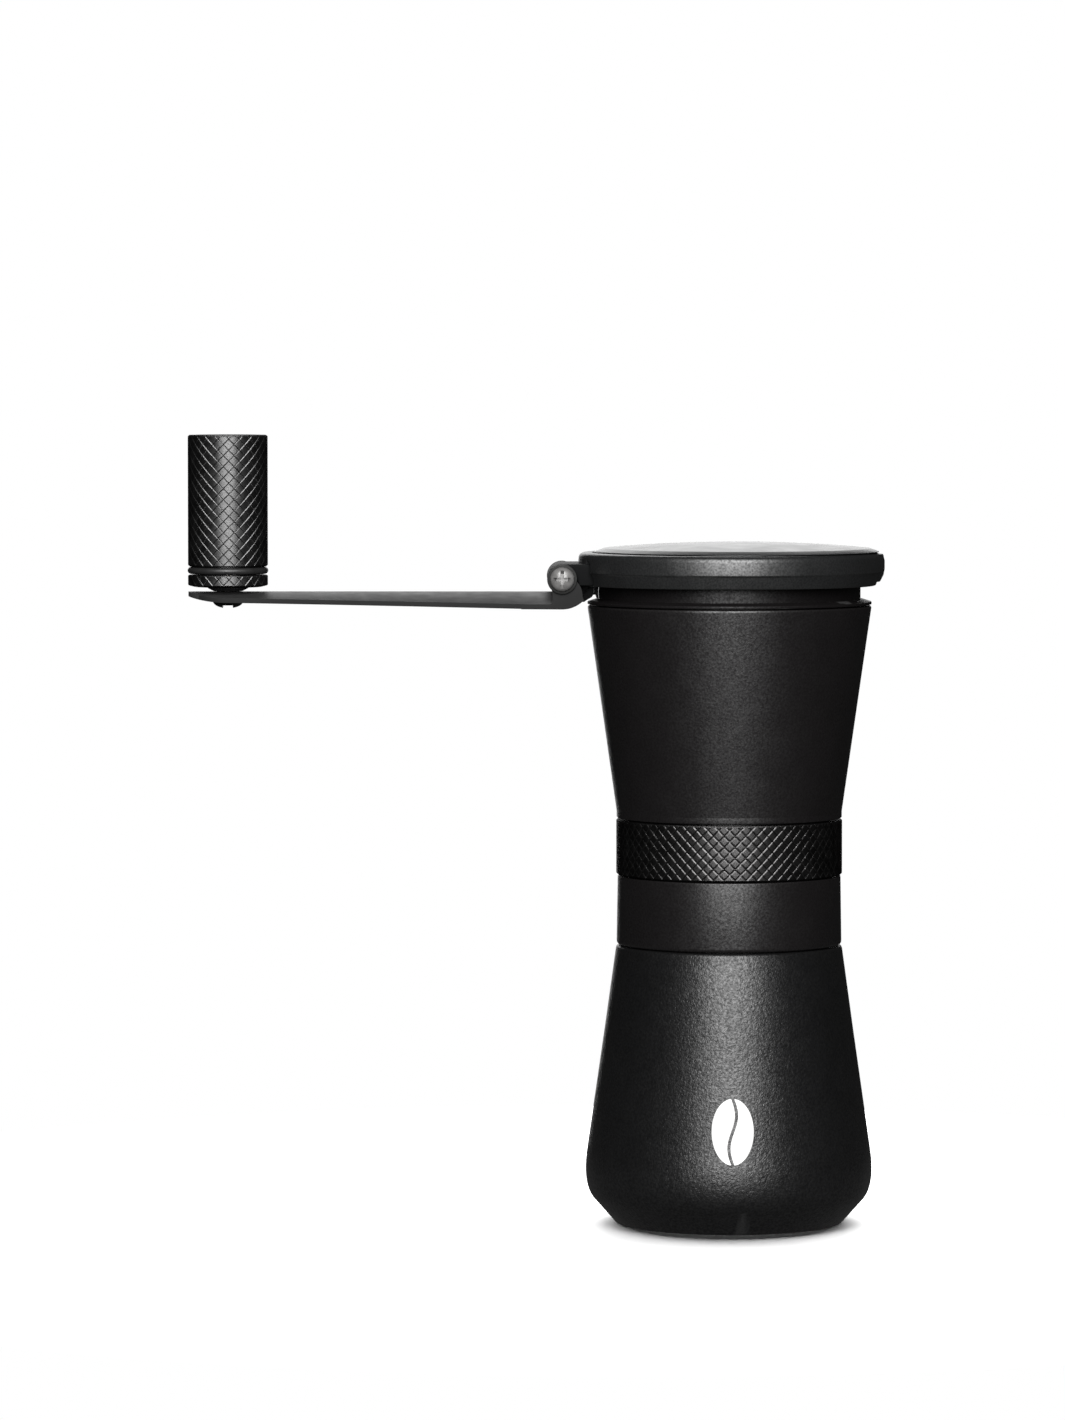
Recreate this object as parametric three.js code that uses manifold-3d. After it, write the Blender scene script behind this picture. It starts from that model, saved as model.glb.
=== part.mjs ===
// Hand crank coffee grinder, in millimetres, +Z up.
// The origin is the centre of the cup's flat base on the table. The crank points towards -X.
import * as THREE from "three";
import { mergeVertices } from "three/addons/utils/BufferGeometryUtils.js";
import Module from "manifold-3d";

const wasm = await Module();
wasm.setup();

// ---- Driving dimensions ----

const GAP = 0.3; // clearance between pieces that screw, press or run together
const TOUCH = 0.1; // clearance between clamped faces

const CUP = { base: 26.6, belly: 33.56, bellyZ: 13.6, topZ: 65.3, mouth: 24.7, floor: 2.2, wall: 1.9 };
const CUP_CONE = { lowZ: 17.2, low: 33.3, highZ: 64.7, high: 26.45 };
const BAND = { bottomZ: 65.5, topZ: 81.7, bottom: 26.4, top: 26.17 };
const SPIGOT = { bottomZ: 57.3, radius: 24.3 };
const NECK = { topZ: 99.5, radius: 23.6 };
const BORE = 20.9;
const RING = { bottomZ: 82.0, topZ: 94.9, radius: 26.52 };
const SHELL = { bottomZ: 95.3, coneZ: 97, topZ: 145.1, bottom: 26.44, top: 33.3, wall: 2 };
const FLANGE = { bottomZ: 145.4, rimZ: 146.0, topZ: 146.6, radius: 33.3 };
const COLLAR = { topZ: 150, radius: 30.7, inner: 28.7 };

const SPOKE_ANGLES = [90, 210, 330];
const SPOKE_WIDTH = 5;
const BRIDGE = { bottomZ: 99.8, topZ: 104.1, outer: 24.3, inner: 18.6 };
const HUB = { radius: 10.2, bearing: 8.3, passage: 5 };
const LOWER_HUB = { bottomZ: 96.8, topZ: 106 };
const UPPER_HUB = { bottomZ: 137, topZ: 146 };
const BEARING = { inner: 4.3, outer: 8, width: 5 };

const SHAFT = { radius: 4, threadRadius: 2.5, bottomZ: 60.4, stepZ: 67.7, hexZ: 147.4, topZ: 154.6 };
const INNER_BURR = { bottomZ: 67.5, topZ: 88, bottom: 17.4, top: 8.2, teeth: 24, twist: 70 };
const OUTER_BURR = { bottomZ: 68, topZ: 82, radius: 19, bottom: 18, top: 13, teeth: 36 };
const CARRIER = { bottomZ: 66.4, topZ: 93, radius: 20.6, seat: 19.3, ledgeZ: 82.3, throat: 17 };
const FOLLOWER = { count: 3, z: 88, radius: 1.2, inner: 19.2, outer: 24.6 };
const ADJUST = { turn: 110, lift: 0.9 };
const DETENT = { circle: 24.7, angle: 270, pocket: 1.1, floorZ: 77, ball: 0.8, ballZ: 80.8 };
const DETENT_SPRING = { radius: 0.6, wire: 0.2, turns: 3 };
const SPRING = { bottomZ: 93.4, topZ: 99.5, radius: 19.7, wire: 0.45, turns: 2.5 };

const LID = { bottomZ: 149.8, deckZ: 150.3, floorZ: 153.3, waistZ: 152.8, rimZ: 157.5, radius: 35.5 };
const LID_SKIRT = { inner: 31.2, outer: 34.4 };
const LID_RECESS = 32.2;
const LID_FILLET = 1.6;
const LID_HOLE = 9.2;
const PLUG = { radius: 31.9, wall: 1.5, bottomZ: 153.6 }; // the top plate's skirt, inside the lid's recess
const PLATE = { offsetX: 1.8, radius: 33.2, bottomZ: 157.6, bevel: 31.1, bevelZ: 158.55, crownZ: 159.9 };
const TAB = { half: 5, reach: 36.4, bottomZ: 150.6, topZ: 157.2 }; // the thumb tab opposite the hinge
const FOLD_STOP_HALF = 3.5;
const SOCKET = { bottomZ: 147.6, topZ: 156.4, radius: 8.9, flange: 13.5, flangeZ: 155 };
const SOCKET_SCREWS = { count: 3, circle: 11.2, head: 1.9, shank: 1 };

const HINGE = { x: -39.3, z: 151.6, lug: 3.4, lugHalf: 11.9, bush: 2.4, bore: 2.7, screw: 1.5, head: 2.8 };
const ARM = { thickness: 1.05, curve: 35, crestZ: 148.3, tipRadius: 9.3, rootHalf: 13.25, slotEnd: 4 };
const HEEL = 7.05; // radius of the ears' lower corner about the hinge axis
const EAR_TOP = 3.3;
const WASHER = { radius: 3.5, thickness: 0.5 };
const KNOB_X = -117.6;
const KNOB = { radius: 9.36, footZ: 149.4, grooveZ: 152.3, gripZ: 154.2, topZ: 185, bore: 4.7 };
const KNOB_GROOVE = 7.4; // radius at the bottom of the O-ring's groove
const KNOB_SCREW = { radius: 1.5, head: 3.65, topZ: 165 };

const FINE = 36; // segments round a large turned piece
const MEDIUM = 20;
const SMALL = 12;

// ---- Solids ----

/** A closed manifold-3d solid from a three.js geometry, whichever way its faces point. */
function solidOf(geometry) {
  const bare = geometry.index ? geometry.toNonIndexed() : geometry.clone();
  bare.deleteAttribute("normal");
  bare.deleteAttribute("uv");
  const merged = mergeVertices(bare, 1e-4);
  const corners = Array.from(merged.index.array);
  const build = (triVerts) => new wasm.Manifold(new wasm.Mesh({
    numProp: 3,
    vertProperties: merged.attributes.position.array,
    triVerts: new Uint32Array(triVerts),
  }));
  const solid = build(corners);
  return solid.volume() > 0 ? solid : build(corners.reverse());
}

/** A three.js geometry from a manifold-3d solid. */
function geometryOf(solid) {
  const mesh = solid.getMesh();
  const positions = new Float32Array(mesh.numVert * 3);
  for (let i = 0; i < mesh.numVert; i++) {
    positions.set(mesh.vertProperties.subarray(i * mesh.numProp, i * mesh.numProp + 3), i * 3);
  }
  const geometry = new THREE.BufferGeometry();
  geometry.setAttribute("position", new THREE.BufferAttribute(positions, 3));
  geometry.setIndex(new THREE.BufferAttribute(mesh.triVerts, 1));
  geometry.computeVertexNormals();
  return geometry;
}

const union = (first, ...others) => others.reduce((sum, solid) => sum.add(solid), first);
const cut = (first, ...others) => others.reduce((rest, solid) => rest.subtract(solid), first);

/** A piece turned about the Z axis from a profile of [radius, z] points. */
function turned(profile, segments = MEDIUM) {
  const points = profile.map(([radius, z]) => new THREE.Vector2(radius, z));
  return solidOf(new THREE.LatheGeometry(points, segments).rotateX(Math.PI / 2));
}

/** A turned ring: its profile closes on itself. */
function ring(profile, segments = MEDIUM) {
  return turned([...profile, profile[0]], segments);
}

/** A plain washer or sleeve about the Z axis. */
function sleeve(inner, outer, bottomZ, topZ, segments = MEDIUM) {
  return ring([[inner, bottomZ], [outer, bottomZ], [outer, topZ], [inner, topZ]], segments);
}

/** A plain round bar about the Z axis. */
function bar(radius, bottomZ, topZ, segments = SMALL) {
  return turned([[0, bottomZ], [radius, bottomZ], [radius, topZ], [0, topZ]], segments);
}

/** Points of an arc in a profile, angles in degrees from +radius towards +z. */
function arc(centreR, centreZ, radius, from, to, steps) {
  return Array.from({ length: steps + 1 }, (_, i) => {
    const angle = THREE.MathUtils.degToRad(from + ((to - from) * i) / steps);
    return [centreR + radius * Math.cos(angle), centreZ + radius * Math.sin(angle)];
  });
}

/** A flat outline raised along Z from bottomZ to topZ. */
function prism(outline, bottomZ, topZ) {
  const shape = new THREE.Shape(outline.map(([x, y]) => new THREE.Vector2(x, y)));
  const geometry = new THREE.ExtrudeGeometry(shape, { depth: topZ - bottomZ, bevelEnabled: false });
  return solidOf(geometry.translate(0, 0, bottomZ));
}

/** An outline in the XZ plane, raised along Y from fromY to toY. */
function sidePrism(outline, fromY, toY) {
  const shape = new THREE.Shape(outline.map(([x, z]) => new THREE.Vector2(x, z)));
  const geometry = new THREE.ExtrudeGeometry(shape, { depth: toY - fromY, bevelEnabled: false });
  return solidOf(geometry.rotateX(Math.PI / 2).translate(0, toY, 0));
}

function box(x0, x1, y0, y1, z0, z1) {
  const geometry = new THREE.BoxGeometry(x1 - x0, y1 - y0, z1 - z0);
  return solidOf(geometry.translate((x0 + x1) / 2, (y0 + y1) / 2, (z0 + z1) / 2));
}

/** A solid made about the Z axis, laid along Y through the hinge axis; its z becomes y. */
function onHinge(solid) {
  const geometry = geometryOf(solid).rotateX(-Math.PI / 2);
  return solidOf(geometry.translate(HINGE.x, 0, HINGE.z));
}

/** A hexagonal bar about the Z axis, given its corner radius. */
function hexBar(corner, bottomZ, topZ) {
  return bar(corner, bottomZ, topZ, 6);
}

const turnedAbout = (solid, degrees) => solid.rotate([0, 0, degrees]);

// ---- Materials ----

const steel = { color: 0xb8b8b6, roughness: 0.3, metalness: 1 };
const FINISHES = {
  powder_coat: { color: 0x141414, roughness: 0.55, metalness: 0.1 },
  anodised: { color: 0x161616, roughness: 0.38, metalness: 0.5 },
  lid_plastic: { color: 0x1b1c1d, roughness: 0.42, metalness: 0 },
  coated_strip: { color: 0x181818, roughness: 0.4, metalness: 0.2 },
  bright_steel: steel,
  burr_steel: { color: 0x8f8f8d, roughness: 0.42, metalness: 1 },
  brass: { color: 0xb08a45, roughness: 0.35, metalness: 1 },
  rubber: { color: 0x101010, roughness: 0.7, metalness: 0 },
  nylon: { color: 0x2a2a2b, roughness: 0.5, metalness: 0 },
};

// ---- Catch cup ----

/** Outer radius of the cup's straight cone between the belly and the mouth. */
function cupRadius(z) {
  const slope = (CUP_CONE.high - CUP_CONE.low) / (CUP_CONE.highZ - CUP_CONE.lowZ);
  return CUP_CONE.low + slope * (z - CUP_CONE.lowZ);
}

function catchCup() {
  const outside = [
    [0, 0], [CUP.base, 0], [27.5, 0.8], [31.7, 5.5], [33.05, 8.2],
    [CUP.belly, 11.6], [CUP.belly, CUP.bellyZ], [CUP_CONE.low, CUP_CONE.lowZ],
    [CUP_CONE.high, CUP_CONE.highZ], [26.1, CUP.topZ],
  ];
  const threadEnd = 56;
  const inside = [
    [CUP.mouth, CUP.topZ], [CUP.mouth, threadEnd], [cupRadius(54) - CUP.wall, 54],
    [CUP_CONE.low - CUP.wall, CUP_CONE.lowZ], [31.5, 11.6], [30.2, 7.2], [26.4, CUP.floor], [0, CUP.floor],
  ];
  return turned([...outside, ...inside], FINE);
}

// ---- Fixed housing ----

/** The smooth band, with the threaded spigot below it and the neck above it. */
function lowerHousing() {
  const body = ring([
    [BORE, SPIGOT.bottomZ], [SPIGOT.radius - 0.6, SPIGOT.bottomZ], [SPIGOT.radius, SPIGOT.bottomZ + 0.6],
    [SPIGOT.radius, 63.6], [23.4, 63.6], [23.4, BAND.bottomZ], [25.9, BAND.bottomZ],
    [BAND.bottom, 66.0], [BAND.top, 81.3], [25.8, BAND.topZ], [NECK.radius, BAND.topZ],
    [NECK.radius, NECK.topZ], [BORE, NECK.topZ],
  ], FINE);
  const half = FOLLOWER.radius + GAP;
  const highZ = FOLLOWER.z + ADJUST.lift;
  const slots = followerAngles().map((angle) => turnedAbout(
    box(BORE - 1, NECK.radius + 1, -half, half, FOLLOWER.z - half, highZ + half),
    angle,
  ));
  return cut(body, ...slots, detentPocket());
}

function detentPocket() {
  const pocket = bar(DETENT.pocket, DETENT.floorZ, BAND.topZ + 1);
  return turnedAbout(pocket.translate([DETENT.circle, 0, 0]), DETENT.angle);
}

function detentBall() {
  const ball = solidOf(new THREE.SphereGeometry(DETENT.ball, 12, 8));
  return turnedAbout(ball.translate([DETENT.circle, 0, DETENT.ballZ]), DETENT.angle);
}

function detentSpring() {
  const clear = 0.35;
  const topZ = DETENT.ballZ - DETENT.ball - clear;
  const { radius, wire, turns } = DETENT_SPRING;
  const coil = coilSpring(radius, wire, DETENT.floorZ + clear, topZ, turns, 8, 4);
  return turnedAbout(coil.translate([DETENT.circle, 0, 0]), DETENT.angle);
}

/** Silicone ring in the groove of the spigot, just under the seam. */
function cupSeal() {
  return ring(arc(24, 64.55, 0.5, 0, 300, 5), FINE);
}

/** Outer radius of the upper shell's straight cone. */
function shellRadius(z) {
  return SHELL.bottom + ((SHELL.top - SHELL.bottom) * (z - SHELL.coneZ)) / (SHELL.topZ - 0.4 - SHELL.coneZ);
}

function upperHousing() {
  const clampZ = BRIDGE.topZ + GAP;
  return ring([
    [NECK.radius + GAP, SHELL.bottomZ], [26.1, SHELL.bottomZ], [SHELL.bottom, 95.7],
    [SHELL.bottom, SHELL.coneZ], [SHELL.top, SHELL.topZ - 0.4], [33, SHELL.topZ],
    [shellRadius(SHELL.topZ) - SHELL.wall, SHELL.topZ], [shellRadius(110) - SHELL.wall, 110],
    [23, clampZ + 1.4], [23, clampZ], [BRIDGE.outer + GAP, clampZ],
    [BRIDGE.outer + GAP, NECK.topZ + GAP], [NECK.radius + GAP, NECK.topZ + GAP],
  ], FINE);
}

/** Spokes from a hub out to radius reach. */
function spokes(reach, bottomZ, topZ) {
  return SPOKE_ANGLES.map((angle) => turnedAbout(
    box(HUB.bearing + 1, reach, -SPOKE_WIDTH / 2, SPOKE_WIDTH / 2, bottomZ, topZ),
    angle,
  ));
}

/** The ring on top of the shell: flange, collar, and a spider that holds the upper bearing. */
function hopperRing() {
  const spigotZ = 141;
  const spigot = shellRadius(spigotZ) - SHELL.wall - GAP;
  const body = ring([
    [COLLAR.inner, spigotZ], [spigot, spigotZ], [spigot, FLANGE.bottomZ], [FLANGE.radius, FLANGE.bottomZ],
    [FLANGE.radius, FLANGE.rimZ], [31.4, FLANGE.topZ], [COLLAR.radius, FLANGE.topZ],
    [COLLAR.radius, COLLAR.topZ - 0.3], [COLLAR.radius - 0.3, COLLAR.topZ], [COLLAR.inner, COLLAR.topZ],
  ], FINE);
  const seatZ = UPPER_HUB.bottomZ + BEARING.width + GAP;
  const hub = ring([
    [HUB.bearing, UPPER_HUB.bottomZ], [HUB.radius, UPPER_HUB.bottomZ], [HUB.radius, 144.5],
    [8.5, UPPER_HUB.topZ], [HUB.passage, UPPER_HUB.topZ], [HUB.passage, seatZ], [HUB.bearing, seatZ],
  ]);
  return union(body, hub, ...spokes(COLLAR.inner + 0.8, spigotZ, 144));
}

/** The lower spider, clamped between the neck and the shell's shoulder. */
function bearingBridge() {
  const rim = sleeve(BRIDGE.inner, BRIDGE.outer, BRIDGE.bottomZ, BRIDGE.topZ, MEDIUM);
  const seatZ = LOWER_HUB.bottomZ + BEARING.width + 2 * GAP;
  const hub = ring([
    [HUB.bearing, LOWER_HUB.bottomZ], [HUB.radius, LOWER_HUB.bottomZ], [HUB.radius, 104.5],
    [6.5, LOWER_HUB.topZ], [HUB.passage, LOWER_HUB.topZ], [HUB.passage, seatZ], [HUB.bearing, seatZ],
  ]);
  return union(rim, hub, ...spokes(BRIDGE.inner + 1, BRIDGE.bottomZ, BRIDGE.topZ));
}

/** A ball bearing, with the recess between its two races on both faces. */
function bearing(bottomZ) {
  const topZ = bottomZ + BEARING.width;
  const recess = 0.4;
  return ring([
    [BEARING.inner, bottomZ], [5.4, bottomZ], [5.4, bottomZ + recess], [6.9, bottomZ + recess],
    [6.9, bottomZ], [BEARING.outer, bottomZ], [BEARING.outer, topZ], [6.9, topZ],
    [6.9, topZ - recess], [5.4, topZ - recess], [5.4, topZ], [BEARING.inner, topZ],
  ], MEDIUM);
}

// ---- Grind adjustment ----

function followerAngles() {
  return Array.from({ length: FOLLOWER.count }, (_, i) => 30 + (360 / FOLLOWER.count) * i);
}

/** The knurled ring, with one helical cam groove inside for each follower pin. */
function adjustRing() {
  const inner = NECK.radius + GAP;
  const edge = 0.35;
  const body = ring([
    [inner, RING.bottomZ], [RING.radius - edge, RING.bottomZ], [RING.radius, RING.bottomZ + edge],
    [RING.radius, RING.topZ - edge], [RING.radius - edge, RING.topZ], [inner, RING.topZ],
  ], FINE);
  const steps = 8;
  const half = FOLLOWER.radius + GAP;
  const grooves = [];
  for (const start of followerAngles()) {
    for (let i = 0; i <= steps; i++) {
      const along = i / steps;
      const z = FOLLOWER.z + ADJUST.lift * along;
      const piece = box(inner - 1, FOLLOWER.outer + GAP, -3.2, 3.2, z - half, z + half);
      grooves.push(turnedAbout(piece, start - ADJUST.turn * along));
    }
  }
  return cut(body, union(...grooves));
}

function burrCarrier() {
  const body = ring([
    [CARRIER.seat, CARRIER.bottomZ], [CARRIER.radius, CARRIER.bottomZ], [CARRIER.radius, CARRIER.topZ],
    [18.2, CARRIER.topZ], [CARRIER.throat, 84], [CARRIER.throat, CARRIER.ledgeZ],
    [CARRIER.seat, CARRIER.ledgeZ],
  ], MEDIUM);
  const holes = followerAngles().map((angle) => turnedAbout(
    radialBar(FOLLOWER.radius + GAP, FOLLOWER.inner - GAP, CARRIER.radius + 1),
    angle,
  ));
  return cut(body, ...holes);
}

/** A round bar pointing outwards along +X at the followers' height. */
function radialBar(radius, from, to) {
  return bar(radius, from, to, 12).rotate([0, 90, 0]).translate([0, 0, FOLLOWER.z]);
}

function followerPin(angle) {
  return turnedAbout(radialBar(FOLLOWER.radius, FOLLOWER.inner, FOLLOWER.outer), angle);
}

/** The fixed ring burr: a conical bore with straight teeth. */
function outerBurr() {
  const blank = ring([
    [OUTER_BURR.bottom, OUTER_BURR.bottomZ], [OUTER_BURR.radius, OUTER_BURR.bottomZ],
    [OUTER_BURR.radius, OUTER_BURR.topZ], [OUTER_BURR.top, OUTER_BURR.topZ],
  ], OUTER_BURR.teeth * 2);
  const deepened = geometryOf(blank);
  const position = deepened.getAttribute("position");
  const point = new THREE.Vector3();
  const toothDepth = 0.5;
  for (let i = 0; i < position.count; i++) {
    point.fromBufferAttribute(position, i);
    const radius = Math.hypot(point.x, point.y);
    const step = Math.round((Math.atan2(point.y, point.x) / (2 * Math.PI)) * OUTER_BURR.teeth * 2);
    const onBore = radius < OUTER_BURR.bottom + 0.1;
    const scale = onBore && step % 2 ? 1 + toothDepth / radius : 1;
    position.setXYZ(i, point.x * scale, point.y * scale, point.z);
  }
  return solidOf(deepened);
}

/** The turning cone burr: teeth that twist round it as they climb. */
function innerBurr() {
  const rows = 6;
  const height = INNER_BURR.topZ - INNER_BURR.bottomZ;
  const { top, bottom, teeth } = INNER_BURR;
  const cone = new THREE.CylinderGeometry(top, bottom, height, teeth * 2, rows);
  cone.rotateX(Math.PI / 2).translate(0, 0, INNER_BURR.bottomZ + height / 2);
  const position = cone.getAttribute("position");
  const point = new THREE.Vector3();
  const toothDepth = 0.09;
  for (let i = 0; i < position.count; i++) {
    point.fromBufferAttribute(position, i);
    const step = Math.round((Math.atan2(point.y, point.x) / (2 * Math.PI)) * teeth * 2);
    const scale = step % 2 ? 1 - toothDepth : 1;
    const climb = (point.z - INNER_BURR.bottomZ) / height;
    point.multiply(new THREE.Vector3(scale, scale, 1));
    point.applyAxisAngle(new THREE.Vector3(0, 0, 1), THREE.MathUtils.degToRad(INNER_BURR.twist * climb));
    position.setXYZ(i, point.x, point.y, point.z);
  }
  return cut(solidOf(cone), bar(SHAFT.radius + GAP, 60, 95));
}

function burrRetainer() {
  return sleeve(18.2, CARRIER.seat - GAP, 66.7, 67.7);
}

/** A round-wire coil spring about the Z axis, with flat closed ends left out. */
function coilSpring(radius, wire, bottomZ, topZ, turns, stepsPerTurn, sides) {
  class Helix extends THREE.Curve {
    getPoint(t, target = new THREE.Vector3()) {
      const angle = 2 * Math.PI * turns * t;
      const z = bottomZ + wire + (topZ - bottomZ - 2 * wire) * t;
      return target.set(radius * Math.cos(angle), radius * Math.sin(angle), z);
    }
  }
  const section = Array.from({ length: sides }, (_, i) => {
    const angle = (2 * Math.PI * i) / sides;
    return new THREE.Vector2(wire * Math.cos(angle), wire * Math.sin(angle));
  });
  return solidOf(new THREE.ExtrudeGeometry(new THREE.Shape(section), {
    steps: Math.round(turns * stepsPerTurn),
    extrudePath: new Helix(),
    bevelEnabled: false,
  }));
}

function carrierSpring() {
  return coilSpring(SPRING.radius, SPRING.wire, SPRING.bottomZ, SPRING.topZ, SPRING.turns, 18, 5);
}

// ---- Drive ----

function driveShaft() {
  const thread = bar(SHAFT.threadRadius, SHAFT.bottomZ, SHAFT.stepZ);
  const round = bar(SHAFT.radius, SHAFT.stepZ, SHAFT.hexZ);
  const hex = hexBar(SHAFT.radius, SHAFT.hexZ, SHAFT.topZ);
  return union(round, thread, hex);
}

function spacerSleeve() {
  return sleeve(SHAFT.radius + GAP, 5.6, INNER_BURR.topZ + GAP, LOWER_HUB.bottomZ - GAP, SMALL);
}

function shaftClip() {
  return sleeve(SHAFT.radius + GAP, 6.4, UPPER_HUB.topZ + GAP, 147.1, SMALL);
}

function burrWasher() {
  return sleeve(SHAFT.threadRadius + GAP, 7, 66.2, 67.2, SMALL);
}

function burrNut() {
  return cut(hexBar(4.6, 61.9, 65.9), bar(SHAFT.threadRadius + GAP, 61, 67));
}

// ---- Crank lid ----

/** The lid's frame: skirt, deck and rim, with the hinge lug, the fold stop and the thumb tab. */
function lidFrame() {
  const groove = { outer: COLLAR.radius - 0.1, topZ: LID.deckZ + 1.1 };
  const body = ring([
    [LID_HOLE, LID.deckZ], [COLLAR.inner - GAP, LID.deckZ], [COLLAR.inner - GAP, groove.topZ],
    [groove.outer, groove.topZ], [groove.outer, LID.deckZ], [LID_SKIRT.inner, LID.deckZ],
    [LID_SKIRT.inner, LID.bottomZ], [LID_SKIRT.outer, LID.bottomZ], [34.8, LID.bottomZ + 0.5],
    [35.2, LID.waistZ], [LID.radius, LID.waistZ + 0.3],
    ...arc(LID.radius - LID_FILLET, LID.rimZ - LID_FILLET, LID_FILLET, 0, 90, 4),
    [LID_RECESS, LID.rimZ], [LID_RECESS, LID.floorZ], [LID_HOLE, LID.floorZ],
  ], FINE);
  const pinHole = onHinge(bar(HINGE.bore, -20, 20));
  const solid = union(body, hingeLug(), foldStop(), thumbTab());
  return cut(solid, pinHole, earRelief(-1), earRelief(1), ...socketScrews(SOCKET_SCREWS.shank + GAP));
}

/** The barrel for the hinge pin, and the block that joins it to the lid's side. */
function hingeLug() {
  const barrel = onHinge(bar(HINGE.lug, -HINGE.lugHalf, HINGE.lugHalf, 24));
  const topZ = HINGE.z + HINGE.lug;
  const block = sidePrism([
    [HINGE.x, topZ], [-32.5, topZ], [-32.5, 151.2], [-32, LID.bottomZ + 0.1],
    [-35.3, LID.bottomZ + 0.1], [-36.3, 152.8], [HINGE.x, 152.6],
  ], -HINGE.lugHalf, HINGE.lugHalf);
  return union(barrel, block);
}

/** The strip at 45 degrees under the lid's side, which the folded arm comes to rest on. */
function foldStop() {
  return sidePrism([
    [-31.7, 150.2], [-31.7, 148.1], [-32.3, 147.1], [-33.4, 146.45], [-34.1, 145.9],
    [-34.8, 145.9], [-34.85, 147.1], [-32.9, 149.2], [-32.9, 150.2],
  ], -FOLD_STOP_HALF, FOLD_STOP_HALF);
}

function thumbTab() {
  const root = 33;
  return sidePrism([
    [root, TAB.bottomZ], [35.3, TAB.bottomZ], [36.1, 152.2], [TAB.reach, 153.6],
    [TAB.reach, 155.6], [36, TAB.topZ], [root, TAB.topZ],
  ], -TAB.half, TAB.half);
}

/** The space in the lid's side that one ear of the arm swings through. */
function earRelief(side) {
  const from = side < 0 ? -ARM.rootHalf - GAP : HINGE.lugHalf;
  return onHinge(bar(HEEL + GAP, from, from + ARM.thickness + 2 * GAP, MEDIUM));
}

/** Low-friction ring in the lid's underside, which runs on the collar. */
function lidGlideRing() {
  return sleeve(COLLAR.inner, COLLAR.radius - 0.4, LID.deckZ, LID.deckZ + 0.8, FINE);
}

/** The lid's domed top plate, with a bevelled edge and a skirt that fits the recess. */
function lidTopPlate() {
  const dome = [24, 12, 0].map((r) => {
    const rise = (PLATE.crownZ - PLATE.bevelZ) * (1 - (r / PLATE.bevel) ** 2);
    return [r, PLATE.bevelZ + rise];
  });
  const cap = turned([
    [0, PLATE.bottomZ], [PLATE.radius, PLATE.bottomZ], [PLATE.radius, PLATE.bottomZ + 0.15],
    [PLATE.bevel, PLATE.bevelZ], ...dome,
  ], FINE);
  const skirt = sleeve(PLUG.radius - PLUG.wall, PLUG.radius, PLUG.bottomZ, PLATE.bottomZ + 0.2, FINE);
  return union(cap.translate([PLATE.offsetX, 0, 0]), skirt);
}

/** The hexagonal socket that fits over the shaft's end. */
function driveSocket() {
  const body = turned([
    [0, SOCKET.bottomZ], [7.4, SOCKET.bottomZ], [SOCKET.radius - 0.1, SOCKET.bottomZ + 1.4],
    [SOCKET.radius - 0.1, PLUG.bottomZ], [SOCKET.flange, PLUG.bottomZ], [SOCKET.flange, SOCKET.flangeZ],
    [7.6, SOCKET.flangeZ], [7, SOCKET.topZ], [0, SOCKET.topZ],
  ]);
  const socket = hexBar(SHAFT.radius + 0.35, SOCKET.bottomZ - 1, SHAFT.topZ + GAP);
  return cut(body, socket, ...socketScrews(SOCKET_SCREWS.shank + GAP));
}

/** Bars through the socket's flange and the lid's deck, where the screws pass. */
function socketScrews(radius) {
  return socketScrewAngles().map((angle) => turnedAbout(
    bar(radius, 151, 158, 12).translate([SOCKET_SCREWS.circle, 0, 0]),
    angle,
  ));
}

function socketScrewAngles() {
  return Array.from({ length: SOCKET_SCREWS.count }, (_, i) => 30 + (360 / SOCKET_SCREWS.count) * i);
}

function socketScrew(angle) {
  const tipZ = 151.4;
  const underHead = SOCKET.flangeZ + TOUCH;
  const topZ = underHead + 1.2;
  const screw = turned([
    [0, tipZ], [SOCKET_SCREWS.shank, tipZ], [SOCKET_SCREWS.shank, underHead],
    [SOCKET_SCREWS.head, underHead], [SOCKET_SCREWS.head, underHead + 0.7], [1.3, topZ], [0, topZ],
  ], SMALL);
  return turnedAbout(screw.translate([SOCKET_SCREWS.circle, 0, 0]), angle);
}

function hingeBush() {
  return onHinge(sleeve(HINGE.screw + GAP, HINGE.bush, -HINGE.lugHalf, HINGE.lugHalf, SMALL));
}

// ---- Folding arm ----

/** The arm's outline from above: a round tip, widening to a forked root. */
function armOutline() {
  const rootX = HINGE.x - ARM.slotEnd;
  const tip = arc(KNOB_X, 0, ARM.tipRadius, 95, 265, 10);
  return [...tip, [rootX, -ARM.rootHalf], [rootX, ARM.rootHalf]];
}

/** The arm's curved sheet, before its outline is cut: hollow side down. */
function armSheet() {
  const centreZ = ARM.crestZ - ARM.curve;
  const edge = 25;
  const steps = 10;
  const top = arc(0, centreZ, ARM.curve, 90 - edge, 90 + edge, steps);
  const bottom = arc(0, centreZ, ARM.curve - ARM.thickness, 90 + edge, 90 - edge, steps);
  const shape = new THREE.Shape([...top, ...bottom].map(([y, z]) => new THREE.Vector2(y, z)));
  const length = 110;
  const geometry = new THREE.ExtrudeGeometry(shape, { depth: length, bevelEnabled: false });
  // Shape x becomes y, shape y becomes z, and the depth runs along +X.
  geometry.rotateX(Math.PI / 2).rotateZ(Math.PI / 2).translate(-30 - length, 0, 0);
  return solidOf(geometry);
}

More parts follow.
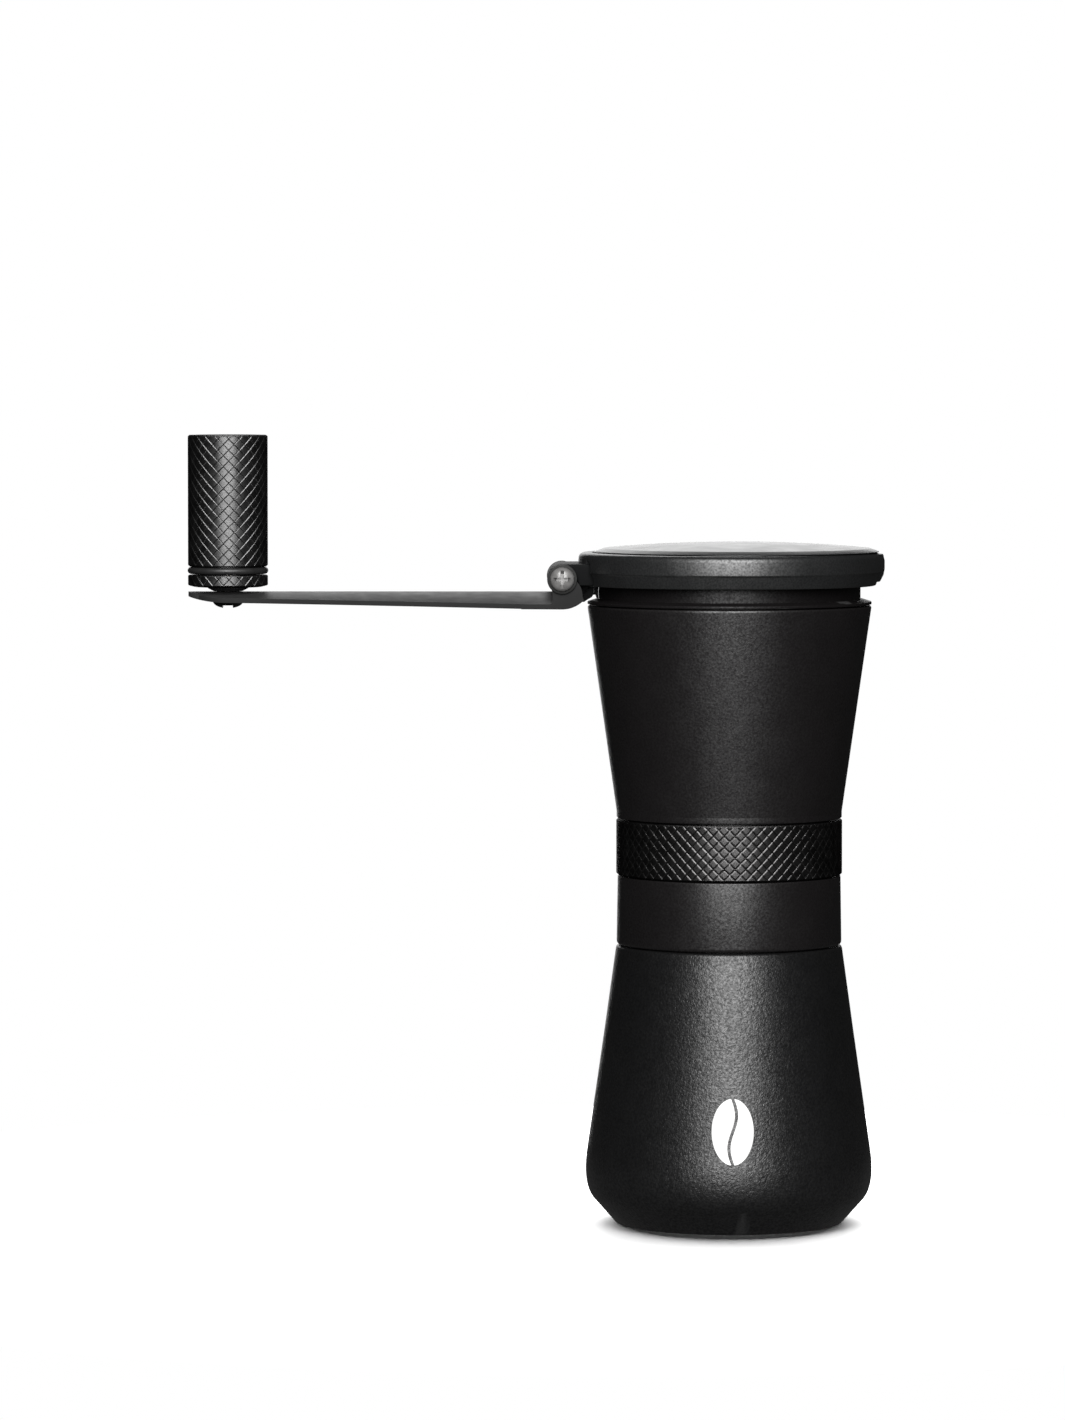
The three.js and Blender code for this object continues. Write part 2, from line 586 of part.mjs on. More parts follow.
/** One ear of the fork, an upright plate that the hinge screw goes through. */
function ear(side) {
  const foot = -8.5;
  const edgeZ = ARM.crestZ - HINGE.z - 2.4;
  const outline = [
    [foot, -HEEL], ...arc(0, 0, HEEL, 270, 318, 6), [4.75, -3.2], [4.2, -1.5],
    ...arc(0, 0, EAR_TOP, 0, 180, 10), [-3.1, -2.2], [-3.6, -4], [-5, edgeZ + 0.4], [foot, edgeZ],
  ].map(([x, z]) => [HINGE.x + x, HINGE.z + z]);
  const inner = ARM.rootHalf - ARM.thickness;
  return side < 0 ? sidePrism(outline, -ARM.rootHalf, -inner) : sidePrism(outline, inner, ARM.rootHalf);
}

function crankArm() {
  const sheet = armSheet().intersect(prism(armOutline(), 130, 160));
  const knobHole = bar(2.3, 140, 160).translate([KNOB_X, 0, 0]);
  const screwHole = onHinge(bar(HINGE.screw + GAP, -20, 20));
  return cut(union(sheet, ear(-1), ear(1)), knobHole, screwHole);
}

/** A cross recess for a screw head whose top is at the given z, pointing to +Z. */
function crossRecess(reach, depth, topZ) {
  const half = 0.35;
  const along = box(-reach, reach, -half, half, topZ - depth, topZ + 1);
  const across = box(-half, half, -reach, reach, topZ - depth, topZ + 1);
  return union(along, across);
}

/** The Phillips screw that the arm folds on; its head faces -Y. */
function hingeScrew() {
  const underHead = ARM.rootHalf + TOUCH + WASHER.thickness + TOUCH;
  const height = 1.9;
  const blank = turned([
    [0, -17.4], [HINGE.screw, -17.4], [HINGE.screw, underHead], [HINGE.head, underHead],
    [HINGE.head, underHead + 0.8], [2.3, underHead + 1.5], [1.3, underHead + height],
    [0, underHead + height],
  ], 24);
  const screw = cut(blank, crossRecess(1.7, 1.2, underHead + height));
  return onHinge(screw.rotate([180, 0, 0]));
}

/** The washer between an ear and the screw head (side -1) or the nut (side 1). */
function hingeWasher(side) {
  const from = side < 0 ? -ARM.rootHalf - TOUCH - WASHER.thickness : ARM.rootHalf + TOUCH;
  return onHinge(sleeve(HINGE.screw + GAP, WASHER.radius, from, from + WASHER.thickness));
}

function hingeNut() {
  const from = ARM.rootHalf + 2 * TOUCH + WASHER.thickness;
  const to = from + 2.4;
  return onHinge(cut(hexBar(3.18, from, to), bar(HINGE.screw + GAP / 2, from - 1, to + 1, 12)));
}

/** The screw that holds the knob's axle to the arm, its head under the arm. */
function knobScrew() {
  const underHead = ARM.crestZ - ARM.thickness - TOUCH;
  const bottomZ = underHead - 2;
  const { radius, head, topZ } = KNOB_SCREW;
  const blank = turned([
    [0, bottomZ], [1.8, bottomZ], [3, bottomZ + 0.6], [head, bottomZ + 1.4], [head, bottomZ + 1.7],
    [radius, bottomZ + 1.7], [radius, topZ], [0, topZ],
  ], SMALL);
  const recess = crossRecess(2, 1, 0).rotate([180, 0, 0]).translate([0, 0, bottomZ]);
  return cut(blank, recess).translate([KNOB_X, 0, 0]);
}

/** The post that the knob turns on, with a flange that keeps the knob on it. */
function knobAxle() {
  const foot = ARM.crestZ + TOUCH;
  const post = turned([
    [0, foot], [2.6, foot], [2.6, 173], [4.2, 173], [4.2, 175], [0, 175],
  ], SMALL);
  return cut(post, bar(1.8, foot - 1, 166, 12)).translate([KNOB_X, 0, 0]);
}

/** A tapered washer that keeps the knob off the arm. */
function thrustWasher() {
  const bottomZ = ARM.crestZ + TOUCH;
  const topZ = KNOB.footZ - TOUCH;
  return ring([
    [2.9, bottomZ], [3.4, bottomZ], [5.2, topZ], [2.9, topZ],
  ], 24).translate([KNOB_X, 0, 0]);
}

// ---- Knob ----

function knobGrip() {
  const edge = 0.5;
  const boreZ = 177;
  const body = turned([
    [0, KNOB.grooveZ], [KNOB_GROOVE, KNOB.grooveZ], [KNOB_GROOVE, KNOB.gripZ],
    [KNOB.radius - edge, KNOB.gripZ], [KNOB.radius, KNOB.gripZ + edge], [KNOB.radius, KNOB.topZ - edge],
    [KNOB.radius - edge, KNOB.topZ], [0, KNOB.topZ],
  ], MEDIUM);
  return cut(body, bar(KNOB.bore, KNOB.grooveZ - 1, boreZ, 24)).translate([KNOB_X, 0, 0]);
}

function knobFoot() {
  const edge = 0.4;
  const topZ = KNOB.grooveZ - TOUCH;
  return ring([
    [KNOB.bore, KNOB.footZ], [KNOB.radius - edge, KNOB.footZ], [KNOB.radius, KNOB.footZ + edge],
    [KNOB.radius, topZ - edge], [KNOB.radius - edge, topZ], [KNOB.bore, topZ],
  ], MEDIUM).translate([KNOB_X, 0, 0]);
}

function knobRing() {
  const wire = 0.8;
  const middle = (KNOB.grooveZ + KNOB.gripZ) / 2;
  return ring(arc(KNOB.radius + 0.1 - wire, middle, wire, 0, 300, 5), MEDIUM).translate([KNOB_X, 0, 0]);
}

function knobBush() {
  return sleeve(2.9, KNOB.bore - GAP, KNOB.footZ + TOUCH, 172.7, SMALL).translate([KNOB_X, 0, 0]);
}

// ---- Assembly ----

/** Adds a named mesh to a group. */
function place(group, name, finish, solid) {
  const material = new THREE.MeshStandardMaterial(FINISHES[finish]);
  const mesh = new THREE.Mesh(geometryOf(solid), material);
  mesh.name = name;
  group.add(mesh);
}

/** The coffee cup under the burrs. */
function cupGroup() {
  const group = new THREE.Group();
  place(group, "catch_cup", "powder_coat", catchCup());
  return group;
}

/** Everything that stays still while the crank turns. */
function housingGroup() {
  const group = new THREE.Group();
  place(group, "lower_housing", "anodised", lowerHousing());
  place(group, "cup_seal", "rubber", cupSeal());
  place(group, "upper_housing", "anodised", upperHousing());
  place(group, "hopper_ring", "anodised", hopperRing());
  place(group, "upper_bearing", "bright_steel", bearing(UPPER_HUB.bottomZ));
  place(group, "bearing_bridge", "nylon", bearingBridge());
  place(group, "lower_bearing", "bright_steel", bearing(LOWER_HUB.bottomZ + GAP));
  place(group, "detent_ball", "bright_steel", detentBall());
  place(group, "detent_spring", "bright_steel", detentSpring());
  return group;
}

/** The adjustment ring and the burr carriage that it lifts. */
function adjustmentGroup() {
  const group = new THREE.Group();
  place(group, "adjust_ring", "anodised", adjustRing());
  place(group, "burr_carrier", "nylon", burrCarrier());
  place(group, "outer_burr", "burr_steel", outerBurr());
  place(group, "burr_retainer", "bright_steel", burrRetainer());
  place(group, "carrier_spring", "bright_steel", carrierSpring());
  followerAngles().forEach((angle, i) => {
    place(group, `follower_pin_${i + 1}`, "bright_steel", followerPin(angle));
  });
  return group;
}

/** The shaft and the burr that turns with it. */
function driveGroup() {
  const group = new THREE.Group();
  place(group, "drive_shaft", "bright_steel", driveShaft());
  place(group, "inner_burr", "burr_steel", innerBurr());
  place(group, "spacer_sleeve", "brass", spacerSleeve());
  place(group, "shaft_clip", "bright_steel", shaftClip());
  place(group, "burr_washer", "bright_steel", burrWasher());
  place(group, "burr_nut", "bright_steel", burrNut());
  return group;
}

/** The lid that lifts off to fill the hopper, and drives the shaft. */
function lidGroup() {
  const group = new THREE.Group();
  place(group, "lid_frame", "lid_plastic", lidFrame());
  place(group, "lid_top_plate", "lid_plastic", lidTopPlate());
  place(group, "lid_glide_ring", "nylon", lidGlideRing());
  place(group, "drive_socket", "brass", driveSocket());
  place(group, "hinge_bush", "brass", hingeBush());
  socketScrewAngles().forEach((angle, i) => {
    place(group, `socket_screw_${i + 1}`, "bright_steel", socketScrew(angle));
  });
  return group;
}

/** The folding arm with what is fastened to it. */
function armGroup() {
  const group = new THREE.Group();
  place(group, "crank_arm", "coated_strip", crankArm());
  place(group, "hinge_screw", "bright_steel", hingeScrew());
  place(group, "hinge_washer_front", "bright_steel", hingeWasher(-1));
  place(group, "hinge_washer_back", "bright_steel", hingeWasher(1));
  place(group, "hinge_nut", "bright_steel", hingeNut());
  place(group, "knob_screw", "bright_steel", knobScrew());
  place(group, "knob_axle", "bright_steel", knobAxle());
  place(group, "thrust_washer", "nylon", thrustWasher());
  return group;
}

/** The knob, which spins on its axle. */
function knobGroup() {
  const group = new THREE.Group();
  place(group, "knob_grip", "anodised", knobGrip());
  place(group, "knob_o_ring", "rubber", knobRing());
  place(group, "knob_foot", "anodised", knobFoot());
  place(group, "knob_bush", "brass", knobBush());
  return group;
}

const grinder = new THREE.Group();
grinder.add(
  cupGroup(), housingGroup(), adjustmentGroup(), driveGroup(), lidGroup(), armGroup(), knobGroup(),
);

export default grinder;
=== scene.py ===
"""A hand crank coffee grinder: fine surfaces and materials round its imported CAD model.

Lengths in the shape functions are millimetres, with the cup's base at z = 0 and the shaft along Z.
Blender's own units are metres, so every mesh is scaled by MM as it is made.
"""

import math

import bmesh
import bpy
from mathutils import Matrix, Vector


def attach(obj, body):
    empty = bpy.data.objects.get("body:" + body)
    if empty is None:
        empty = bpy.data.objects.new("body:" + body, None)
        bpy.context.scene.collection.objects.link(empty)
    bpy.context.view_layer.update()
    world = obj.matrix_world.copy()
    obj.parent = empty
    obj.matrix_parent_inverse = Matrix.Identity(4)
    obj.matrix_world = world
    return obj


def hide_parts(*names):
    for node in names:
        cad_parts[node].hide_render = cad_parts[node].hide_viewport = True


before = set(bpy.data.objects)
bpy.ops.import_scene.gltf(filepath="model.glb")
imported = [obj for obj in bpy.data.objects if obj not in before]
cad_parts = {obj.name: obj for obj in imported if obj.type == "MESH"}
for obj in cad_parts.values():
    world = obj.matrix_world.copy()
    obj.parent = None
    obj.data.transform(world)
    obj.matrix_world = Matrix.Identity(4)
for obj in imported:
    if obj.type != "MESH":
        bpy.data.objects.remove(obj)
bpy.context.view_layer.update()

MM = 0.001
SHARP = 32  # degrees between two faces, past which their edge isn't smoothed
FLAT_SIDE = 0.7  # a face whose normal's Y is past this counts as facing along Y, and on the arm and by the hinge such faces take a darker copy of their finish as painted shade
TINY = 1e-6
scene = bpy.context.scene


def in_scene(name, data):
    """A new object, put in the scene."""
    made = bpy.data.objects.new(name, data)
    scene.collection.objects.link(made)
    return made


# ---- Camera ----

CAMERA = {
    "x": -0.0462,  # the crank side of the shaft, so that the whole crank is in view
    "distance": 1.571,
    "height": 0.2047,
    "pitch_down": 3.07,  # degrees
    "lens": 169.9,  # on a 36 mm frame's long side
}


def make_camera():
    data = bpy.data.cameras.new("camera")
    data.lens = CAMERA["lens"]
    data.sensor_width = 36
    data.clip_end = 20
    camera = in_scene("camera", data)
    camera.location = (CAMERA["x"], -CAMERA["distance"], CAMERA["height"])
    camera.rotation_euler = (math.radians(90 - CAMERA["pitch_down"]), 0, 0)
    scene.camera = camera


make_camera()


# ---- Mesh tools ----

def bezier(start, control, end, steps=6):
    """A smooth bend from start to end, which leaves and arrives along the lines to control."""
    corners = (start, control, end)
    points = []
    for k in range(steps + 1):
        t = k / steps
        weights = ((1 - t) ** 2, 2 * t * (1 - t), t ** 2)
        points.append(tuple(sum(w * p[axis] for w, p in zip(weights, corners)) for axis in (0, 1)))
    return points


def rounded(corners, closed=True, steps=4):
    """An outline whose corners, given as (x, y, fillet), are rounded."""
    points = []
    last = len(corners) - 1
    for i, (x, y, fillet) in enumerate(corners):
        here = Vector((x, y))
        if fillet == 0 or (not closed and i in (0, last)):
            points.append((x, y))
            continue
        before = Vector(corners[i - 1][:2]) - here
        after = Vector(corners[(i + 1) % len(corners)][:2]) - here
        reach = min(fillet / math.tan(before.angle(after) / 2), 0.49 * before.length, 0.49 * after.length)
        points += bezier(here + before.normalized() * reach, here, here + after.normalized() * reach, steps)
    return points


def circle(x, y, radius, start=0, end=360, steps=32):
    """Points along an arc, angles in degrees. A full circle's last point isn't repeated."""
    count = steps if abs(end - start) == 360 else steps + 1
    angles = [math.radians(start + (end - start) * k / steps) for k in range(count)]
    return [(x + radius * math.cos(a), y + radius * math.sin(a)) for a in angles]


def new_mesh(name, vertices, faces, sharp=SHARP):
    """A mesh in metres from points in millimetres, smooth except across edges over sharp degrees."""
    mesh = bpy.data.meshes.new(name)
    mesh.from_pydata([Vector(v) * MM for v in vertices], [], faces)
    tidy_mesh(mesh, sharp)
    return mesh


def tidy_mesh(mesh, sharp=SHARP):
    """Merges doubled points, turns the faces outwards and sets the smoothing."""
    shape = bmesh.new()
    shape.from_mesh(mesh)
    bmesh.ops.remove_doubles(shape, verts=shape.verts, dist=1e-7)
    bmesh.ops.dissolve_degenerate(shape, edges=shape.edges, dist=1e-7)
    bmesh.ops.recalc_face_normals(shape, faces=shape.faces)
    shape.to_mesh(mesh)
    shape.free()
    mesh.shade_smooth()
    mesh.set_sharp_from_angle(angle=math.radians(sharp))


def revolve(name, profile, segments=128, closed=True, centre_x=0, radius_at=None, valleys=False):
    """A turned mesh from (radius, z) points. An open profile starts and ends on the axis.

    radius_at(radius, z, turn) may change the radius at a point, turn going from 0 to 1 round the axis.
    With valleys, each face is split along its lower diagonal, so that crossed grooves stay clean.
    """
    vertices = []
    for j in range(segments):
        turn = j / segments
        angle = 2 * math.pi * turn
        for radius, z in profile:
            r = radius_at(radius, z, turn) if radius_at else radius
            vertices.append((centre_x + r * math.cos(angle), r * math.sin(angle), z))
    rows = len(profile)
    faces = []
    for j in range(segments):
        here = j * rows
        there = ((j + 1) % segments) * rows
        for i in range(rows if closed else rows - 1):
            k = (i + 1) % rows
            corners = (here + i, there + i, there + k, here + k)
            if not valleys:
                faces.append(corners)
                continue
            a, b, c, d = (math.hypot(vertices[v][0] - centre_x, vertices[v][1]) for v in corners)
            turned = corners if a + c <= b + d else corners[1:] + corners[:1]
            faces += [(turned[0], turned[1], turned[2]), (turned[0], turned[2], turned[3])]
    return new_mesh(name, vertices, faces)


def along_rim(edge):
    """Whether an edge of a plate lies in one of its two flat faces."""
    return all(abs(v.co.y - edge.verts[0].co.y) < 1e-7 for v in edge.verts)


def plate(name, outline, start, end, bevel=0.2):
    """An outline in XZ raised along Y from start to end, with its rim edges bevelled."""
    count = len(outline)
    vertices = [(x, y, z) for y in (start, end) for x, z in outline]
    faces = [tuple(range(count)), tuple(range(2 * count - 1, count - 1, -1))]
    faces += [(i, (i + 1) % count, count + (i + 1) % count, count + i) for i in range(count)]
    mesh = new_mesh(name, vertices, faces)
    if bevel:
        bevel_edges(mesh, along_rim, bevel)
    return mesh


def bevel_edges(mesh, chosen, width):
    """Rounds the edges that chosen(edge) picks."""
    shape = bmesh.new()
    shape.from_mesh(mesh)
    edges = [edge for edge in shape.edges if chosen(edge)]
    bmesh.ops.bevel(shape, geom=edges, offset=width * MM, segments=3, profile=0.6, affect="EDGES",
                    clamp_overlap=True)
    shape.to_mesh(mesh)
    shape.free()
    tidy_mesh(mesh)


def steep(angle):
    """A test for edges whose two faces meet at more than angle degrees."""
    limit = math.radians(angle)
    return lambda edge: len(edge.link_faces) == 2 and edge.calc_face_angle(0) > limit


def combine(name, target, tools, operation, sharp=SHARP):
    """The exact boolean of a mesh and other meshes, as a new mesh."""
    result = target
    for tool in tools:
        holder = in_scene("holder", result)
        cutter = in_scene("cutter", tool)
        modifier = holder.modifiers.new("boolean", "BOOLEAN")
        modifier.object = cutter
        modifier.operation = operation
        modifier.solver = "EXACT"
        graph = bpy.context.evaluated_depsgraph_get()
        result = bpy.data.meshes.new_from_object(holder.evaluated_get(graph))
        bpy.data.objects.remove(holder)
        bpy.data.objects.remove(cutter)
    result.name = name
    tidy_mesh(result, sharp)
    return result


def joined(name, *meshes):
    """One mesh that holds all of these."""
    shape = bmesh.new()
    for mesh in meshes:
        shape.from_mesh(mesh)
    result = bpy.data.meshes.new(name)
    shape.to_mesh(result)
    shape.free()
    result.shade_smooth()
    result.set_sharp_from_angle(angle=math.radians(SHARP))
    return result


def moved(mesh, matrix):
    """The mesh with its points moved by a matrix in metres."""
    mesh.transform(matrix)
    return mesh


def add_piece(mesh, body, slot, *nodes, paint=None):
    """Puts a mesh in the scene as a piece that rides on a body and stands for CAD nodes.

    Its finish is the one named paint, or else the one named as its slot.
    """
    piece = in_scene(mesh.name, mesh)
    mesh.materials.clear()
    mesh.materials.append(PAINT[paint or slot])
    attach(piece, body)
    if nodes:
        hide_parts(*nodes)
    return piece


# ---- Materials ----

NOISE_RANGE = (0.3, 0.7)  # where most of a noise's values lie
CONVEX_RANGE = (0.53, 0.62)  # the pointiness of slightly and of clearly raised edges
LOW_ANGLE_TINT = (0.2, 0.2, 0.2, 1)
GREY_EDGE = (0.09, 0.09, 0.09)


class Finish:
    """A procedural material: a Principled surface with grain, mottling and edge wear from nodes."""

    def __init__(self, color, roughness, metallic=0.0, specular=0.5):
        self.material = bpy.data.materials.new("finish")
        self.material.use_nodes = True
        self.nodes = self.material.node_tree.nodes
        self.links = self.material.node_tree.links
        self.surface = self.nodes["Principled BSDF"]
        self.surface.inputs["Metallic"].default_value = metallic
        self.surface.inputs["Specular IOR Level"].default_value = specular
        self.place = self.nodes.new("ShaderNodeTexCoord").outputs["Object"]
        self.color = color
        self.roughness = roughness
        self.heights = []

    def noise(self, size_mm, detail=2.0, stretch=(1, 1, 1)):
        """Noise whose features are about size_mm across."""
        mapping = self.nodes.new("ShaderNodeMapping")
        mapping.inputs["Scale"].default_value = stretch
        self.links.new(self.place, mapping.inputs["Vector"])
        texture = self.nodes.new("ShaderNodeTexNoise")
        texture.inputs["Scale"].default_value = 1 / (size_mm * MM)
        texture.inputs["Detail"].default_value = detail
        self.links.new(mapping.outputs["Vector"], texture.inputs["Vector"])
        return texture.outputs["Fac"]

    def ramp(self, value, source, low, high):
        """value, mapped from its range source to low..high."""
        node = self.nodes.new("ShaderNodeMapRange")
        self.links.new(value, node.inputs["Value"])
        for name, number in zip(("From Min", "From Max", "To Min", "To Max"), (*source, low, high)):
            node.inputs[name].default_value = number
        return node.outputs["Result"]

    def mottle(self, size_mm, amount):
        """Colour that varies slowly over the surface."""
        self.patches = self.ramp(self.noise(size_mm, 3.0), NOISE_RANGE, 1 - amount, 1 + amount)
        return self

    def wear(self, strength, tint):
        """Lets a lighter tint show on convex edges."""
        geometry = self.nodes.new("ShaderNodeNewGeometry")
        self.edge = self.ramp(geometry.outputs["Pointiness"], CONVEX_RANGE, 0.0, strength)
        self.tint = tint
        return self

    def rough_patches(self, size_mm, amount):
        """Roughness that varies over the surface."""
        low, high = self.roughness - amount, self.roughness + amount
        varied = self.ramp(self.noise(size_mm, 4.0), NOISE_RANGE, low, high)
        self.links.new(varied, self.surface.inputs["Roughness"])
        return self

    def speckle(self, size_mm, amount):
        """Shine that varies from grain to grain."""
        level = self.surface.inputs["Specular IOR Level"]
        low, high = level.default_value * (1 - amount), level.default_value * (1 + amount)
        self.links.new(self.ramp(self.noise(size_mm, 1.0), NOISE_RANGE, low, high), level)
        return self

    def dull_at_edges(self):
        """A metal that shines least where it is seen at a low angle, as a dyed coating does."""
        self.surface.inputs["Specular Tint"].default_value = LOW_ANGLE_TINT
        return self

    def grain(self, size_mm, depth_um, detail=2.0, stretch=(1, 1, 1)):
        """Raised grain about size_mm across and depth_um deep."""
        self.heights.append((self.noise(size_mm, detail, stretch), depth_um))
        return self

    def finish(self, name):
        """Names the material, links what was asked for and gives the material."""
        self.material.name = name
        base = self.surface.inputs["Base Color"]
        base.default_value = (*self.color, 1)
        current = None
        if hasattr(self, "patches"):
            scaled = self.nodes.new("ShaderNodeVectorMath")
            scaled.operation = "SCALE"
            scaled.inputs[0].default_value = self.color
            self.links.new(self.patches, scaled.inputs["Scale"])
            current = scaled.outputs["Vector"]
        if hasattr(self, "edge"):
            mix = self.nodes.new("ShaderNodeMix")
            mix.data_type = "RGBA"
            self.links.new(self.edge, mix.inputs["Factor"])
            mix.inputs["A"].default_value = (*self.color, 1)
            if current:
                self.links.new(current, mix.inputs["A"])
            mix.inputs["B"].default_value = (*self.tint, 1)
            current = mix.outputs["Result"]
        if current:
            self.links.new(current, base)
        normal = None
        for height, depth_um in self.heights:
            bump = self.nodes.new("ShaderNodeBump")
            bump.inputs["Strength"].default_value = 1.0
            bump.inputs["Distance"].default_value = depth_um * 1e-6
            self.links.new(height, bump.inputs["Height"])
            if normal:
                self.links.new(normal, bump.inputs["Normal"])
            normal = bump.outputs["Normal"]
        if normal:
            self.links.new(normal, self.surface.inputs["Normal"])
        return self.material


def powder_coat():
    """Black powder coat with a fine sandy texture."""
    finish = Finish((0.0040, 0.0040, 0.0042), 0.38, specular=0.46)
    finish.mottle(9, 0.12).wear(0.15, GREY_EDGE).rough_patches(3, 0.03).speckle(0.55, 0.5)
    return finish.grain(0.32, 60, 1.0).grain(0.75, 60, 1.0)


def anodised():
    """Bead-blasted black anodised aluminium, very slightly warm."""
    finish = Finish((0.0054, 0.0048, 0.0050), 0.39, specular=0.38)
    finish.mottle(14, 0.1).wear(0.15, GREY_EDGE).rough_patches(5, 0.03).speckle(0.5, 0.5)
    return finish.grain(0.2, 18, 1.0).grain(0.55, 24, 1.0)


def shaded_collar_anodised():
    """The same coating on the collar under the lid, with its shine turned down to paint in the shade of the
    lid's overhang.
    """
    finish = Finish((0.0054, 0.0048, 0.0050), 0.42, specular=0.15)
    finish.mottle(14, 0.1).wear(0.4, GREY_EDGE).rough_patches(5, 0.03).speckle(0.5, 0.5)
    return finish.grain(0.2, 18, 1.0).grain(0.55, 24, 1.0)


def knurl_anodised():
    """The same coating on cut knurls, where it is a little smoother."""
    finish = Finish((0.056, 0.055, 0.055), 0.34, metallic=1.0)
    return finish.mottle(6, 0.12).rough_patches(2, 0.05).dull_at_edges().grain(0.2, 12, 2.0)


def knob_lit_anodised():
    """The same coating on the knob, given a brighter, shinier metal than the knurled ring to paint in the
    stronger highlight that the knob shows.
    """
    finish = Finish((0.085, 0.085, 0.085), 0.34, metallic=1.0)
    return finish.mottle(6, 0.1).rough_patches(2, 0.05).dull_at_edges().grain(0.2, 10, 2.0)


def lid_plastic():
    """Satin moulded plastic with a faint mould texture."""
    finish = Finish((0.0085, 0.0088, 0.009), 0.40, specular=0.76)
    finish.mottle(12, 0.08).wear(0.15, GREY_EDGE).rough_patches(6, 0.03).speckle(0.45, 0.4)
    return finish.grain(0.22, 5, 2.0).grain(0.6, 8, 1.0)


def shaded_lug_plastic():
    """A darker, duller copy of the lid's plastic, which paints shade on the hinge lug and on the lid's faces
    by the hinge that face along Y.
    """
    finish = Finish((0.0050, 0.0052, 0.0054), 0.55, specular=0.06)
    return finish.mottle(5, 0.1).rough_patches(3, 0.04).grain(0.22, 8, 2.0)


def cap_plastic():
    """The lid's top plate, a little glossier than the frame round it."""
    finish = Finish((0.0085, 0.0088, 0.009), 0.32, specular=0.36)
    return finish.mottle(12, 0.08).rough_patches(6, 0.03).grain(0.3, 6, 1.0)


def coated_strip():
    """Black coated steel strip, with faint lines along its length, made lighter and shinier than its ears and
    cut edges to paint in the light on the arm's top.
    """
    finish = Finish((0.016, 0.016, 0.016), 0.55, specular=0.9)
    finish.mottle(8, 0.12).wear(0.12, GREY_EDGE).rough_patches(3, 0.05)
    return finish.grain(0.25, 8, 2.0).grain(0.4, 4, 1.0, (0.08, 1, 1))


def coated_rim():
    """A darker, duller copy of the strip's coating on its ears and cut edges, which paints shade on the faces
    that face along Y.
    """
    finish = Finish((0.0055, 0.0055, 0.0055), 0.55, specular=0.06)
    return finish.mottle(6, 0.15).wear(0.12, GREY_EDGE).rough_patches(3, 0.05).grain(0.25, 10, 2.0)


def bright_steel():
    """Plated steel with fine handling marks."""
    finish = Finish((0.5, 0.49, 0.485), 0.25, metallic=0.9)
    return finish.mottle(3, 0.06).rough_patches(1.2, 0.06).grain(0.3, 2, 3.0, (1, 0.15, 1))


def zinc_plate():
    """Dull plated screw steel."""
    finish = Finish((0.15, 0.147, 0.144), 0.3, metallic=0.2)
    return finish.mottle(1.5, 0.2).rough_patches(1, 0.08).grain(0.2, 6, 2.0)


def black_oxide():
    """Blackened screw steel."""
    finish = Finish((0.012, 0.012, 0.0117), 0.45, metallic=0.9)
    return finish.mottle(2, 0.15).rough_patches(1, 0.06).grain(0.2, 3, 2.0)


def burr_steel():
    """Ground stainless steel with cutting marks."""
    finish = Finish((0.5, 0.5, 0.49), 0.34, metallic=1.0)
    return finish.mottle(5, 0.1).rough_patches(2, 0.08).grain(0.25, 5, 3.0, (1, 1, 0.2))


def brass():
    """Machined brass."""
    finish = Finish((0.6, 0.42, 0.17), 0.3, metallic=1.0)
    return finish.mottle(5, 0.12).rough_patches(2, 0.08).grain(0.2, 3, 2.0, (1, 1, 0.2))


def rubber():
    """Satin black rubber."""
    finish = Finish((0.013, 0.013, 0.013), 0.45)
    return finish.mottle(3, 0.15).rough_patches(1.5, 0.06).grain(0.15, 6, 2.0)


def nylon():
    """Dull black nylon."""
    finish = Finish((0.02, 0.02, 0.021), 0.5)
    return finish.mottle(6, 0.12).rough_patches(2, 0.05).grain(0.3, 8, 2.0)


def white_print():
    """Screen-printed white ink."""
    finish = Finish((0.8, 0.8, 0.79), 0.5)
    return finish.mottle(1.5, 0.05).rough_patches(1, 0.05).grain(0.3, 8, 2.0)


PAINT = {make.__name__: make().finish(make.__name__) for make in (
    powder_coat, anodised, shaded_collar_anodised, knurl_anodised, knob_lit_anodised, lid_plastic, shaded_lug_plastic,
    cap_plastic, coated_strip, coated_rim, bright_steel, zinc_plate, black_oxide, burr_steel, brass, rubber,
    nylon, white_print,
)}


# ---- Sizes that several pieces share, from the CAD model ----

HINGE = Vector((-39.3, 0, 151.6))
HINGE_BARREL = 3.4  # radius of the lug and of the ears round the hinge axis
PIVOT_HOLE = 1.8
CREST = 148.3  # top of the arm's curved sheet
SHEET = 1.05  # its thickness
ARM_CURVE = 35  # radius that the sheet is curved to, across its width
ARM_ROOT = 13.25  # half widths of the arm at its root and tip
ARM_TIP = 9.3
HEEL = 7.05  # how far the ears reach from the hinge axis
LUG_HALF = 11.9
LUG_DRAFT = 0.16  # how far the lug's ends lean in, per mm down
RELIEF = 10.6  # the lid is cut away from here outwards, for the arm's ears
CUP_CONE = {"z": 17.2, "radius": 33.3, "slope": 0.1442}
CUP_TOP = 65.3
BAND_FOOT, BAND_TOP = 65.5, 81.7
RING_FOOT, RING_TOP = 82.0, 94.9
SHELL_FOOT, SHELL_TOP = 95.3, 145.1
NECK = 23.9  # radius of the neck inside the ring and the shell
COLLAR = {"radius": 30.7, "inner": 28.7, "top": 150}
HUB = {"radius": 10.2, "bearing": 8.3, "passage": 5, "shoulder": 0.8}
LID = {"radius": 35.5, "bottom": 149.8, "deck": 150.3, "floor": 153.3, "rim": 157.5, "bore": 9.2}
KNOB_X = -117.6
KNOB_RADIUS = 9.36
